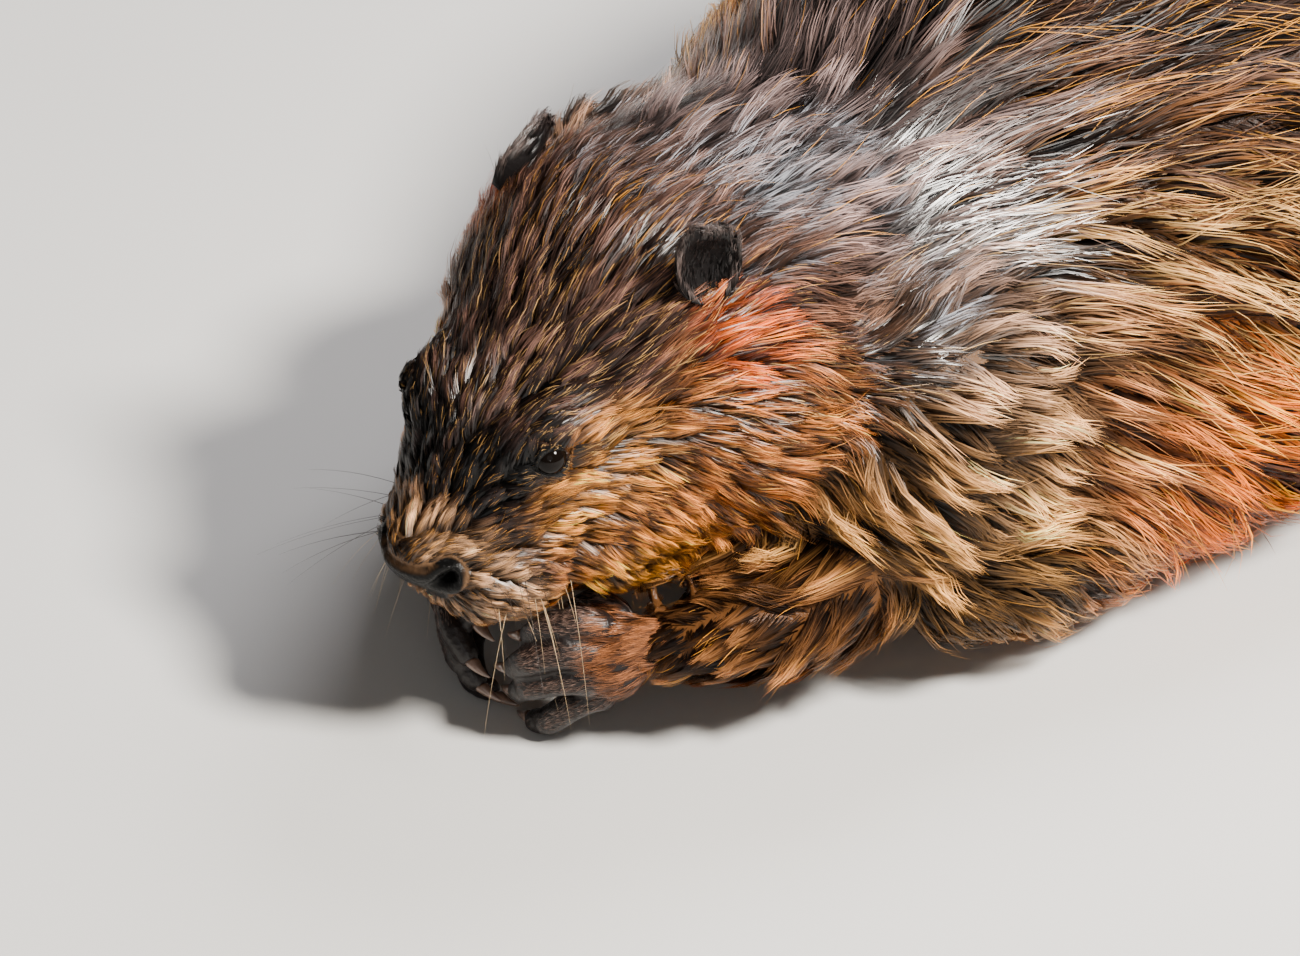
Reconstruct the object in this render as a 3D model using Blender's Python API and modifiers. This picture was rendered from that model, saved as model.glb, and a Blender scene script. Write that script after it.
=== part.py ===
"""A life-size North American beaver, crouched over its forepaws, as a still museum model.

The beaver faces -Y with its left side at +X, and rests on z = 0. The solids reach out to the tips of
the coat. The body is modelled whole, from lofted sections and round masses melted together, and then
parted with thin cuts; hands, hind feet, ears, eyes and claws are modelled on their own.
"""

import math
from collections import namedtuple

import bmesh
import bpy
from mathutils import Matrix, Vector

CM = 0.01

# --- Driving dimensions -----------------------------------------------------------------------
EAR_HEIGHT = 18.3 * CM          # the point midway between the ears, above the ground
HEAD_PITCH = math.radians(39)   # how far the line from the ears to the nose dips
EAR_LENGTH = 3.1 * CM
EAR_HALF_WIDTH = 1.2 * CM
EAR_LIE = {1: (-0.60, 0.80, 0.0), -1: (-0.98, -0.05, 0.03)}     # towards the tip; the right is laid back
EAR_CUP = 0.65 * CM             # how deep the ear's hollow is
EAR_HALF_THICKNESS = 0.16 * CM
EAR_BASE = (1.05, -0.3, 5.2)    # forward, up and left along the head, in centimetres
EYE_PLACE = (8.65, -0.4, 3.45)
EYE_RADIUS = 0.62 * CM
TAIL_START = 47.5 * CM
TAIL_LENGTH = 27.0 * CM
TAIL_HALF_WIDTH = 6.3 * CM
TAIL_RIM = 0.5 * CM             # height of the paddle's edge above the ground
TAIL_BEND = math.radians(9)     # the paddle curves a little to the animal's left
CUT_GAP = 0.05 * CM             # between neighbouring solids
VOXEL = 0.42 * CM               # the melt's grid for the body
FINE_VOXEL = 0.19 * CM          # and for hands and feet
BODY_TRIANGLES = 1950
HAND_TRIANGLES = 330
FOOT_TRIANGLES = 300
BOX = 2.0                       # the side of the box that cuts along a plane

Section = namedtuple("Section", "x y z wide above below sag square")

MATERIALS = {
    "coat": ((0.115, 0.052, 0.024), 0.62, 0.0),
    "bare_skin": ((0.030, 0.022, 0.020), 0.48, 0.0),
    "tail_scales": ((0.045, 0.038, 0.035), 0.50, 0.0),
    "eye": ((0.010, 0.006, 0.005), 0.06, 0.0),
    "claw": ((0.16, 0.10, 0.075), 0.34, 0.0),
}


# --- Scene, materials and objects -------------------------------------------------------------
def clear_scene():
    for obj in list(bpy.data.objects):
        bpy.data.objects.remove(obj)


def new_collection(name):
    made = bpy.data.collections.new(name)
    bpy.context.scene.collection.children.link(made)
    return made


def material(name):
    found = bpy.data.materials.get(name)
    if found:
        return found
    colour, roughness, metallic = MATERIALS[name]
    made = bpy.data.materials.new(name)
    made.use_nodes = True
    shader = made.node_tree.nodes["Principled BSDF"]
    shader.inputs["Base Color"].default_value = (*colour, 1)
    shader.inputs["Roughness"].default_value = roughness
    shader.inputs["Metallic"].default_value = metallic
    return made


def add_object(name, mesh, finish=None, helper=False):
    obj = bpy.data.objects.new(name, mesh)
    (HELPERS if helper else PARTS).objects.link(obj)
    if helper:
        obj.hide_render = True
        obj.display_type = "WIRE"
    if finish:
        mesh.materials.clear()
        mesh.materials.append(material(finish))
    return obj


def mesh_from(bm, name):
    bmesh.ops.recalc_face_normals(bm, faces=bm.faces)
    mesh = bpy.data.meshes.new(name)
    bm.to_mesh(mesh)
    bm.free()
    return mesh


def evaluated_mesh(obj):
    graph = bpy.context.evaluated_depsgraph_get()
    mesh = bpy.data.meshes.new_from_object(obj.evaluated_get(graph), depsgraph=graph)
    mesh.transform(obj.matrix_world)
    return mesh


# --- Coordinates ------------------------------------------------------------------------------
def head_point(forward, up, left):
    """A point given in centimetres from the middle between the ears, along the tilted head."""
    cos, sin = math.cos(HEAD_PITCH), math.sin(HEAD_PITCH)
    y = -forward * cos - up * sin
    z = -forward * sin + up * cos
    return Vector((left * CM, y * CM, EAR_HEIGHT + z * CM))


def head_direction(forward, up, left):
    return (head_point(forward, up, left) - head_point(0, 0, 0)).normalized()


def mirrored(vector, side):
    return Vector((vector[0] * side, vector[1], vector[2]))


# --- Shapes -----------------------------------------------------------------------------------
def catmull(values, t):
    """The value at t along a smooth curve through equally spaced values."""
    last = len(values) - 1
    i = min(int(t), last - 1)
    f = t - i
    a, b, c, d = (values[min(max(i + k, 0), last)] for k in (-1, 0, 1, 2))
    return 0.5 * (
        2 * b + (c - a) * f + (2 * a - 5 * b + 4 * c - d) * f * f + (3 * b - 3 * c + d - a) * f ** 3
    )


def smooth_sections(sections, steps):
    count = (len(sections) - 1) * steps
    columns = list(zip(*sections))
    return [Section(*(catmull(c, i / steps) for c in columns)) for i in range(count + 1)]


def loft(bm, sections, sides=28, steps=3, to_point=lambda x, y, z: Vector((x, y, z)) * CM):
    """A closed skin through oval sections, square to the line through their middles. Sizes are in
    centimetres. sag makes a section wider below its middle than above it, like a pear, and square
    (0 to 1) makes its lower half boxier."""
    fine = smooth_sections(sections, steps)
    middles = [to_point(s.x, s.y, s.z) for s in fine]
    rings = []
    for i, s in enumerate(fine):
        along = (middles[min(i + 1, len(fine) - 1)] - middles[max(i - 1, 0)]).normalized()
        side = Vector((1, 0, 0))
        side = (side - along * side.dot(along)).normalized()
        up = side.cross(along)
        if up.z < 0:
            up = -up
        ring = []
        for k in range(sides):
            angle = 2 * math.pi * k / sides
            cos, sin = math.cos(angle), math.sin(angle)
            if sin < 0:
                power = 1 - 0.45 * s.square
                cos = math.copysign(abs(cos) ** power, cos)
                sin = -abs(sin) ** power
            out = side * (s.wide * cos * (1 - s.sag * sin))
            rise = up * (sin * (s.above if sin > 0 else s.below))
            ring.append(bm.verts.new(middles[i] + (out + rise) * CM))
        rings.append(ring)
    stitch(bm, rings)


def stitch(bm, rings):
    """Closes a row of equal rings of corners into one skin."""
    sides = len(rings[0])
    for low, high in zip(rings, rings[1:]):
        for k in range(sides):
            n = (k + 1) % sides
            bm.faces.new((low[k], low[n], high[n], high[k]))
    bm.faces.new(rings[0])
    bm.faces.new(reversed(rings[-1]))


def ellipsoid(bm, centre, radii, turn=None, segments=24, rings=14):
    """A round mass: radii in centimetres along X, Y and Z before the turn."""
    size = Matrix.Diagonal((*(r * CM for r in radii), 1))
    place = Matrix.Translation(centre) @ (turn or Matrix()) @ size
    bmesh.ops.create_uvsphere(bm, u_segments=segments, v_segments=rings, radius=1, matrix=place)


def melted(name, bm, voxel, triangles, smoothing=6):
    """The shapes in bm melted into one skin, smoothed and thinned to so many triangles."""
    obj = add_object(name + "_melt", mesh_from(bm, name + "_melt"), helper=True)
    melt = obj.modifiers.new("melt", "REMESH")
    melt.mode = "VOXEL"
    melt.voxel_size = voxel
    soften = obj.modifiers.new("soften", "SMOOTH")
    soften.factor = 0.5
    soften.iterations = smoothing
    graph = bpy.context.evaluated_depsgraph_get()
    full = len(obj.evaluated_get(graph).data.polygons) * 2
    thin = obj.modifiers.new("thin", "DECIMATE")
    thin.ratio = min(1.0, triangles / full)
    thin.use_collapse_triangulate = True
    mesh = evaluated_mesh(obj)
    bpy.data.objects.remove(obj)
    return mesh


# --- Cutting ----------------------------------------------------------------------------------
def boolean(mesh, cutter, operation):
    """mesh cut, kept or joined by the cutter mesh, as a new mesh."""
    held = add_object("held", mesh, helper=True)
    tool = add_object("tool", cutter, helper=True)
    step = held.modifiers.new("step", "BOOLEAN")
    step.operation = operation
    step.object = tool
    result = evaluated_mesh(held)
    bpy.data.objects.remove(held)
    bpy.data.objects.remove(tool)
    return result


def beyond_plane(mesh, point, normal):
    """The part of a closed mesh on the side of the plane that its normal points to."""
    bm = bmesh.new()
    bmesh.ops.create_cube(bm, size=BOX)
    turn = Vector(normal).to_track_quat("Z", "Y").to_matrix().to_4x4()
    bm.transform(Matrix.Translation(point) @ turn @ Matrix.Translation((0, 0, BOX / 2)))
    return boolean(mesh, mesh_from(bm, "box"), "INTERSECT")


def round_zone(centre, radii, turn=None, grow=0.0):
    bm = bmesh.new()
    ellipsoid(bm, centre, [r + grow / CM for r in radii], turn, segments=10, rings=7)
    return mesh_from(bm, "round_zone")


def split(mesh, zone, wider_zone):
    """(the piece of mesh inside zone, the rest, clear of it by the gap)."""
    return boolean(mesh.copy(), zone, "INTERSECT"), boolean(mesh, wider_zone, "DIFFERENCE")


def split_by_plane(mesh, point, normal):
    point, normal = Vector(point), Vector(normal).normalized()
    here = beyond_plane(mesh.copy(), point, normal)
    return here, beyond_plane(mesh, point - normal * CUT_GAP, -normal)


def split_by_ball(mesh, centre, radii, turn=None):
    return split(mesh, round_zone(centre, radii, turn), round_zone(centre, radii, turn, CUT_GAP))


def keep_largest_body(mesh):
    """Drops the loose slivers that a cut can leave beside the piece it makes."""
    bm = bmesh.new()
    bm.from_mesh(mesh)
    left, bodies = set(bm.verts), []
    while left:
        body, edge = set(), [left.pop()]
        while edge:
            vertex = edge.pop()
            body.add(vertex)
            near = {e.other_vert(vertex) for e in vertex.link_edges} & left
            left -= near
            edge.extend(near)
        bodies.append(body)
    largest = max(bodies, key=len)
    bmesh.ops.delete(bm, geom=[v for v in bm.verts if v not in largest], context="VERTS")
    bm.to_mesh(mesh)
    bm.free()


# --- The whole body ---------------------------------------------------------------------------
# Sections in centimetres: x, y, z of the middle, half width, reach above and below, sag, square.
TRUNK = [
    Section(0, -3.0, 12.6, 5.4, 4.5, 5.4, 0.12, 0.0),
    Section(0, 1.0, 12.0, 7.8, 6.0, 8.4, 0.14, 0.3),
    Section(0, 6.0, 11.4, 9.6, 7.1, 10.2, 0.30, 0.6),
    Section(0, 12.0, 11.2, 12.3, 8.8, 11.4, 0.32, 0.7),
    Section(0, 19.0, 11.8, 14.2, 12.0, 12.1, 0.28, 0.7),
    Section(0, 26.0, 12.4, 15.0, 14.2, 12.7, 0.20, 0.55),
    Section(0, 33.0, 12.4, 14.6, 14.4, 12.5, 0.14, 0.5),
    Section(0, 39.0, 11.0, 12.4, 12.2, 10.6, 0.10, 0.4),
    Section(0, 43.5, 8.6, 9.0, 8.2, 7.6, 0.06, 0.2),
    Section(0, 47.0, 5.8, 5.4, 4.9, 4.9, 0.02, 0.0),
    Section(0, 50.5, 3.5, 4.0, 2.9, 3.0, 0.0, 0.0),
    Section(0, 53.5, 2.0, 3.7, 1.7, 1.7, 0.0, 0.0),
]
# The head's sections run along it: left, forward and up from the middle between the ears.
HEAD = [
    Section(0, 14.35, -2.6, 1.7, 1.2, 1.9, 0.05, 0.3),
    Section(0, 13.8, -2.7, 2.75, 1.9, 3.0, 0.08, 0.5),
    Section(0, 12.6, -2.8, 3.15, 2.1, 3.8, 0.12, 0.6),
    Section(0, 11.0, -2.9, 3.75, 3.0, 4.4, 0.18, 0.6),
    Section(0, 9.2, -3.0, 4.5, 3.8, 5.0, 0.18, 0.5),
    Section(0, 7.0, -3.2, 5.7, 4.2, 5.5, 0.18, 0.4),
    Section(0, 4.0, -3.6, 7.4, 5.1, 5.9, 0.16, 0.3),
    Section(0, 1.0, -4.2, 7.9, 5.5, 6.2, 0.12, 0.2),
    Section(0, -2.0, -5.4, 7.2, 4.3, 6.3, 0.10, 0.1),
    Section(0, -5.0, -7.8, 6.4, 3.9, 6.0, 0.10, 0.0),
]


def tail_point(along, across, up):
    """A point of the tail: along its curved middle line from the root, across to the left, and up."""
    t = along / TAIL_LENGTH
    turn = TAIL_BEND * t
    x = TAIL_LENGTH * TAIL_BEND * t * t / 2
    return Vector((x + across * math.cos(turn), TAIL_START + along - across * math.sin(turn), up))


def paddle_half_width(t):
    """The paddle's half width, from its waist at the root to its round tip."""
    waist = 0.34 + 0.66 * math.sin(min(t / 0.6, 1) * math.pi / 2)
    tip = math.sqrt(max(0.0, 1 - max(0.0, (t - 0.6) / 0.4) ** 2.3))
    return TAIL_HALF_WIDTH * waist * tip


def tail_paddle():
    """A flat blade with a low crown along its middle, lying on the ground."""
    bm = bmesh.new()
    rings, sides = [], 18
    for t in (0.06, 0.16, 0.26, 0.37, 0.48, 0.60, 0.72, 0.82, 0.90, 0.96, 0.997):
        half, crown = paddle_half_width(t), (2.3 - 1.5 * t) * CM
        ring = []
        for k in range(sides):
            angle = 2 * math.pi * k / sides
            cos, sin = math.cos(angle), math.sin(angle)
            rise = crown * sin ** 3 if sin > 0 else 0.42 * CM * sin
            up = TAIL_RIM * (1 + 0.4 * sin) + rise
            ring.append(bm.verts.new(tail_point(t * TAIL_LENGTH, half * cos, up)))
        rings.append(ring)
    stitch(bm, rings)
    return mesh_from(bm, "tail")


def limb(bm, points, sides=16):
    """A tapered round limb through (x, y, z, radius) points, in centimetres."""
    sections = [Section(x, y, z, r, r, r, 0, 0) for x, y, z, r in points]
    loft(bm, sections, sides=sides, steps=3)


SHOULDER = (7.6, 7.0, 10.0, 4.0)
ELBOW = (8.2, 2.0, 4.9, 2.6)
MID_FOREARM = (6.7, -2.0, 4.5, 1.8)
WRIST = (4.85, -4.05, 4.15, 1.15)
HIP = (8.6, 35.0, 12.5, 5.0)
KNEE = (13.0, 28.5, 7.0, 4.3)
ANKLE = (11.6, 38.0, 3.4, 2.4)
INSTEP = (12.6, 34.0, 2.4, 1.9)
HEAD_TURN = Matrix.Rotation(HEAD_PITCH, 4, "X")


def head_mass(bm, forward, up, left, across, along, deep):
    """A round mass laid along the head: half sizes across, along and square to it."""
    ellipsoid(bm, head_point(forward, up, left), (across, along, deep), HEAD_TURN)


def whole_body():
    bm = bmesh.new()
    loft(bm, TRUNK)
    loft(bm, HEAD, to_point=lambda x, y, z: head_point(y, z, x))
    head_mass(bm, 10.4, -6.0, 0, 2.6, 3.0, 1.9)                  # the chin
    head_mass(bm, 13.7, -1.7, 0, 1.6, 1.1, 1.25)                 # the bulb of the nose
    for side in (1, -1):
        flip = lambda p: (p[0] * side, *p[1:])
        head_mass(bm, 6.4, -6.1, 3.4 * side, 2.8, 4.9, 3.3)      # a jowl
        head_mass(bm, 12.2, -4.2, 1.9 * side, 1.8, 1.9, 1.9)     # the pad of the upper lip
        head_mass(bm, 7.9, -0.6, 2.7 * side, 1.3, 2.3, 1.1)      # the brow over the eye
        limb(bm, [flip(SHOULDER), flip(ELBOW), flip(MID_FOREARM), flip(WRIST)])
        limb(bm, [flip(HIP), flip(KNEE)])
        limb(bm, [flip(KNEE), flip(ANKLE), flip(INSTEP)])
        ellipsoid(bm, Vector((10.0 * side, 31.5, 10.2)) * CM, (5.8, 9.0, 8.6))
        ellipsoid(bm, Vector((8.4 * side, 8.0, 8.8)) * CM, (4.4, 6.2, 7.2))
        ellipsoid(bm, Vector((9.8 * side, 12.0, 4.3)) * CM, (4.2, 8.5, 3.6))
        ellipsoid(bm, Vector((6.8 * side, 2.8, 11.2)) * CM, (2.6, 4.2, 4.4))
    return melted("body", bm, VOXEL, BODY_TRIANGLES)


# --- Hands and feet ---------------------------------------------------------------------------
# Digits of the left hand: points (x, y, z, radius) in centimetres from knuckle to tip.
HAND_DIGITS = [
    [(3.5, -5.4, 4.85, 0.62), (3.1, -5.9, 5.1, 0.58), (2.2, -6.5, 4.8, 0.52), (1.5, -6.7, 4.2, 0.42)],
    [(3.5, -5.9, 4.0, 0.66), (3.0, -6.5, 4.1, 0.62), (2.0, -7.2, 3.6, 0.56), (1.3, -7.3, 3.0, 0.44)],
    [(3.5, -5.8, 2.9, 0.66), (2.9, -6.4, 2.9, 0.62), (1.9, -7.0, 2.4, 0.56), (1.2, -7.0, 1.8, 0.44)],
    [(3.4, -5.2, 1.9, 0.62), (2.9, -5.8, 1.6, 0.58), (2.0, -6.3, 0.6, 0.52), (1.3, -6.3, 0.2, 0.44)],
    [(3.3, -4.2, 4.6, 0.55), (2.5, -4.4, 5.0, 0.48), (1.9, -4.8, 4.7, 0.38)],
]
HAND_PALM = [(4.15, -4.6, 3.9, 1.15), (3.8, -5.0, 3.4, 1.35), (3.6, -5.2, 2.7, 1.2)]
HAND_CLAW = 0.75 * CM
HAND_SHIFT = {1: Vector((0.6, 0.5, 0.2)), -1: Vector((0.6, 0.6, -0.6))}   # the right hand is lower
# Toes of the left hind foot, inner to outer, and the sole they spring from.
TOE_TIPS = [(12.3, 26.6), (14.0, 24.3), (15.9, 23.5), (17.8, 24.3), (19.3, 26.7)]
TOE_ROOTS = [(12.1, 32.7), (12.8, 32.3), (13.6, 32.3), (14.4, 32.7), (15.2, 33.4)]
TOE_RADIUS = 0.78
HEEL = (11.3, 39.3, 1.35, 1.5)
FOOT_CLAW = 1.6 * CM
WEB_THICK, WEB_REACH, WEB_SCALLOP = 0.42, 0.80, 1.1


def claw(name, base, direction, down, length, radius):
    """A curved, tapering claw that starts at base and hooks towards down."""
    bm = bmesh.new()
    sides, bend = 5, 0.3
    direction, down = direction.normalized(), down.normalized()
    across = direction.cross(down).normalized()
    rings = []
    for t in (0.0, 0.45, 0.95):
        middle = base + direction * length * t + down * length * bend * t * t
        r = radius * (1 - t) ** 0.7 + 0.02 * CM
        turns = [2 * math.pi * k / sides for k in range(sides)]
        offsets = [across * math.cos(a) * r * 0.8 + down * math.sin(a) * r for a in turns]
        rings.append([bm.verts.new(middle + offset) for offset in offsets])
    stitch(bm, rings)
    lift = max(0.0, CUT_GAP - min(v.co.z for v in bm.verts))
    bm.transform(Matrix.Translation((0, 0, lift)))
    return add_object(name, mesh_from(bm, name), "claw")


def add_digits(bm, digits):
    """Digits with round tips. Returns (the point before the tip, the tip, its radius) for each."""
    tips = []
    for digit in digits:
        limb(bm, digit, sides=10)
        x, y, z, radius = digit[-1]
        tip, before = Vector((x, y, z)) * CM, Vector(digit[-2][:3]) * CM
        ellipsoid(bm, tip, (radius,) * 3, segments=10, rings=8)
        tips.append((before, tip, radius * CM))
    return tips


def add_claws(name, tips, length, radius, down):
    """A claw at the end of each digit, just clear of it."""
    for number, (before, tip, tip_radius) in enumerate(tips, start=1):
        direction = (tip - before).normalized()
        direction.z = max(direction.z, -0.35)
        start = tip + direction * (tip_radius + 2 * CUT_GAP)
        claw(f"{name}_{number}", start, direction, down, length, radius)


def hand(side, side_name):
    """A hand curled inwards, as if around something narrow; its lowest finger meets the ground."""
    bm = bmesh.new()
    shift = HAND_SHIFT[side]
    place = lambda p: (p[0] * side + shift.x, p[1] + shift.y, max(p[2] + shift.z, p[3] - 0.06), p[3])
    limb(bm, [place(p) for p in HAND_PALM], sides=14)
    tips = add_digits(bm, [[place(p) for p in digit] for digit in HAND_DIGITS])
    inward = Vector((-0.3 * side, 0.8, 0.0))
    add_claws("hand_claw_" + side_name, tips, HAND_CLAW, 0.27 * CM, inward)
    return melted("hand", bm, FINE_VOXEL, HAND_TRIANGLES, smoothing=2)


def hind_foot(side, side_name):
    """A long flat sole with five webbed toes spread forwards."""
    bm = bmesh.new()
    flip = lambda p: (p[0] * side, *p[1:])
    sole = [HEEL, (11.9, 35.5, 1.5, 1.75), (12.9, 32.5, 1.3, 1.9), (13.5, 30.5, 1.0, 1.2)]
    limb(bm, [flip(p) for p in sole], sides=14)
    toes = []
    for (x0, y0), (x1, y1) in zip(TOE_ROOTS, TOE_TIPS):
        root = (x0, y0, 1.1, TOE_RADIUS)
        knuckle = ((x0 + x1) / 2, (y0 + y1) / 2, 1.35, TOE_RADIUS + 0.05)
        tip = (x1, y1, 0.62, TOE_RADIUS - 0.12)
        toes.append([flip(p) for p in (root, knuckle, tip)])
    tips = add_digits(bm, toes)
    add_webs(bm, side)
    add_claws("foot_claw_" + side_name, tips, FOOT_CLAW, 0.34 * CM, Vector((0, 0, -1)))
    return melted("foot", bm, FINE_VOXEL, FOOT_TRIANGLES, smoothing=2)


def add_webs(bm, side):
    """Thin flat plates from toe to toe, their front edges scalloped back from the tips."""
    toes = list(zip(TOE_ROOTS, TOE_TIPS))
    reach = lambda root, tip: [r + (t - r) * WEB_REACH for r, t in zip(root, tip)]
    for inner, outer in zip(toes, toes[1:]):
        left, right = reach(*inner), reach(*outer)
        middle = ((left[0] + right[0]) / 2, (left[1] + right[1]) / 2 + WEB_SCALLOP)
        outline = [inner[0], left, middle, right, outer[0]]
        rows = []
        for z in (0.3, 0.3 + WEB_THICK):
            rows.append([bm.verts.new(Vector((x * side, y, z)) * CM) for x, y in outline])
        stitch(bm, rows)


# --- Ears and eyes ----------------------------------------------------------------------------
def ear(side, side_name):
    """A small round cup of an ear, laid back along the head, its hollow facing forwards and out."""
    base = head_point(*EAR_BASE[:2], EAR_BASE[2] * side)
    along = head_direction(*EAR_LIE[side])
    face = head_direction(0.30, 0.35, 0.85 * side)
    face = (face - along * face.dot(along)).normalized()
    across = along.cross(face).normalized()
    rows, columns = 7, 6
    bm = bmesh.new()
    layers = []
    for offset in (-EAR_HALF_THICKNESS, EAR_HALF_THICKNESS):
        grid = []
        for i in range(rows):
            v = i / (rows - 1)
            # A rounded outline: widest at mid height, closing at the tip and drawn in at the base.
            half = EAR_HALF_WIDTH * math.sqrt(max(0.06, 1 - (abs(v - 0.52) / 0.56) ** 2.4))
            row = []
            for j in range(columns):
                u = -1 + 2 * j / (columns - 1)
                thin = 1 - 0.35 * u * u
                hollow = -EAR_CUP * (1 - u * u) * math.sin(math.pi * min(v + 0.12, 1))
                point = base + along * EAR_LENGTH * (v - 0.12) + across * half * u
                row.append(bm.verts.new(point + face * (hollow + offset * thin)))
            grid.append(row)
        layers.append(grid)
    back, front = layers
    for i in range(rows - 1):
        for j in range(columns - 1):
            bm.faces.new((back[i][j], back[i][j + 1], back[i + 1][j + 1], back[i + 1][j]))
            bm.faces.new((front[i][j], front[i + 1][j], front[i + 1][j + 1], front[i][j + 1]))
    rim = [(0, j) for j in range(columns)] + [(i, columns - 1) for i in range(1, rows)]
    rim += [(rows - 1, j) for j in range(columns - 2, -1, -1)] + [(i, 0) for i in range(rows - 2, 0, -1)]
    for (i, j), (k, m) in zip(rim, rim[1:] + rim[:1]):
        bm.faces.new((back[i][j], back[k][m], front[k][m], front[i][j]))
    bmesh.ops.triangulate(bm, faces=bm.faces)
    return mesh_from(bm, "ear_" + side_name)


def eye_centre(side):
    forward, up, left = EYE_PLACE
    return head_point(forward, up, left * side)


def eye_ball_mesh(side, grow=0.0):
    bm = bmesh.new()
    place = Matrix.Translation(eye_centre(side))
    bmesh.ops.create_uvsphere(bm, u_segments=10, v_segments=7, radius=EYE_RADIUS + grow, matrix=place)
    return mesh_from(bm, "eye")


def grown(mesh, distance):
    """A copy of a closed mesh with each corner pushed out along its normal."""
    copy = mesh.copy()
    for vertex in copy.vertices:
        vertex.co += vertex.normal * distance
    return copy


# --- Assembly ---------------------------------------------------------------------------------
HEAD_ZONE = ((5.2, -3.2, 0), (9.0, 10.6, 7.6))       # a round zone: its middle and half sizes
JAW_ZONE = ((10.4, -7.9, 0), (2.7, 4.6, 1.9))
NOSE_ZONE = ((14.9, -1.7, 0), (1.55, 1.25, 1.25))
UPPER_ARM_ZONE = ((11.2, 6.8, 7.4), (6.6, 6.2, 8.0))
HIND_LEG_ZONE = ((15.2, 31.5, 9.0), (7.8, 10.0, 10.4))


def cut_by_zone(body, zone, side=1):
    place, radii = zone
    return split_by_ball(body, Vector((place[0] * side, *place[1:])) * CM, radii)


def cut_by_head_zone(body, zone):
    (forward, up, left), radii = zone
    return split_by_ball(body, head_point(forward, up, left), radii, HEAD_TURN)


def cut_forearm(body, side):
    """The forearm, cut out by a fat round-ended zone laid along it."""
    a, b = (mirrored(Vector(p[:3]) * CM, side) for p in (ELBOW, WRIST))
    along = b - a
    turn = along.to_track_quat("Z", "Y").to_matrix().to_4x4()
    fat = ELBOW[3] + 1.2
    return split_by_ball(body, (a + b) / 2, (fat, fat, along.length / CM * 0.5 + 1.6), turn)


def build():
    body = beyond_plane(whole_body(), (0, 0, 0), (0, 0, 1))
    pieces = {}
    for side, name in ((1, "left"), (-1, "right")):
        for kind, maker in (("hand_", hand), ("hind_foot_", hind_foot)):
            made = beyond_plane(maker(side, name), (0, 0, 0), (0, 0, 1))
            body = boolean(body, grown(made, CUT_GAP), "DIFFERENCE")
            pieces[kind + name] = made
    pieces["head"], body = cut_by_head_zone(body, HEAD_ZONE)
    for side, name in ((1, "left"), (-1, "right")):
        pieces["forearm_" + name], body = cut_forearm(body, side)
        pieces["upper_arm_" + name], body = cut_by_zone(body, UPPER_ARM_ZONE, side)
        pieces["hind_leg_" + name], body = cut_by_zone(body, HIND_LEG_ZONE, side)
        made = ear(side, name)
        pieces["ear_" + name] = made
        pieces["head"] = boolean(pieces["head"], grown(made, CUT_GAP), "DIFFERENCE")
        add_object("eye_" + name, eye_ball_mesh(side), "eye")
        pieces["head"] = boolean(pieces["head"], eye_ball_mesh(side, CUT_GAP), "DIFFERENCE")
    pieces["nose"], pieces["head"] = cut_by_head_zone(pieces["head"], NOSE_ZONE)
    pieces["lower_jaw"], pieces["head"] = cut_by_head_zone(pieces["head"], JAW_ZONE)
    rear, body = split_by_plane(body, (0, 32.0 * CM, 0), (0, 1, 0))
    pieces["trunk"], body = split_by_plane(body, (0, 14.0 * CM, 0), (0, 1, 0))
    pieces["neck"], pieces["chest"] = split_by_plane(body, (0, 6.0 * CM, 10.5 * CM), (0, -0.75, 0.66))
    rear_end, pieces["rump"] = split_by_plane(rear, (0, 44.0 * CM, 8 * CM), (0, 1, -0.35))
    waist = (0, 52.6 * CM, 0)
    pieces["tail_root"] = split_by_plane(rear_end, waist, (0, 1, 0))[1]
    pieces["tail"] = beyond_plane(beyond_plane(tail_paddle(), waist, (0, 1, 0)), (0, 0, 0), (0, 0, 1))
    for name, mesh in pieces.items():
        keep_largest_body(mesh)
        add_object(name, mesh, finish_of(name))
    centre_on_origin()
    for obj in PARTS.objects:
        for polygon in obj.data.polygons:
            polygon.use_smooth = True


def finish_of(name):
    if name == "tail":
        return "tail_scales"
    bare = name == "nose" or name.startswith(("hand", "hind_foot"))
    return "bare_skin" if bare else "coat"


def centre_on_origin():
    """Slides the whole animal so that the origin is on the ground under the middle of its box."""
    corners = [v.co for obj in PARTS.objects for v in obj.data.vertices]
    middle = [(min(c[i] for c in corners) + max(c[i] for c in corners)) / 2 for i in (0, 1)]
    for obj in PARTS.objects:
        obj.data.transform(Matrix.Translation((-middle[0], -middle[1], 0)))


clear_scene()
PARTS = new_collection("beaver")
HELPERS = new_collection("cutters")
build()
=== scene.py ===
"""The beaver's looks: one skin shaped over the solids' forms, a coat of wet tufts that follows the lie
of the hair, eyes, claws, whiskers and a scaly tail, on a pale floor under soft studio light.

Lengths in the tables are in centimetres. Shapes are made in the beaver's own coordinates, with the
ground at z = 0, the animal facing -Y and the point midway between the ears above y = 0; each finished
piece is then slid along Y to where the solids stand.
"""

import math
from collections import namedtuple

import bmesh
import bpy
import numpy as np
from mathutils import Matrix, Vector
from mathutils.bvhtree import BVHTree
from mathutils.kdtree import KDTree


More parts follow.
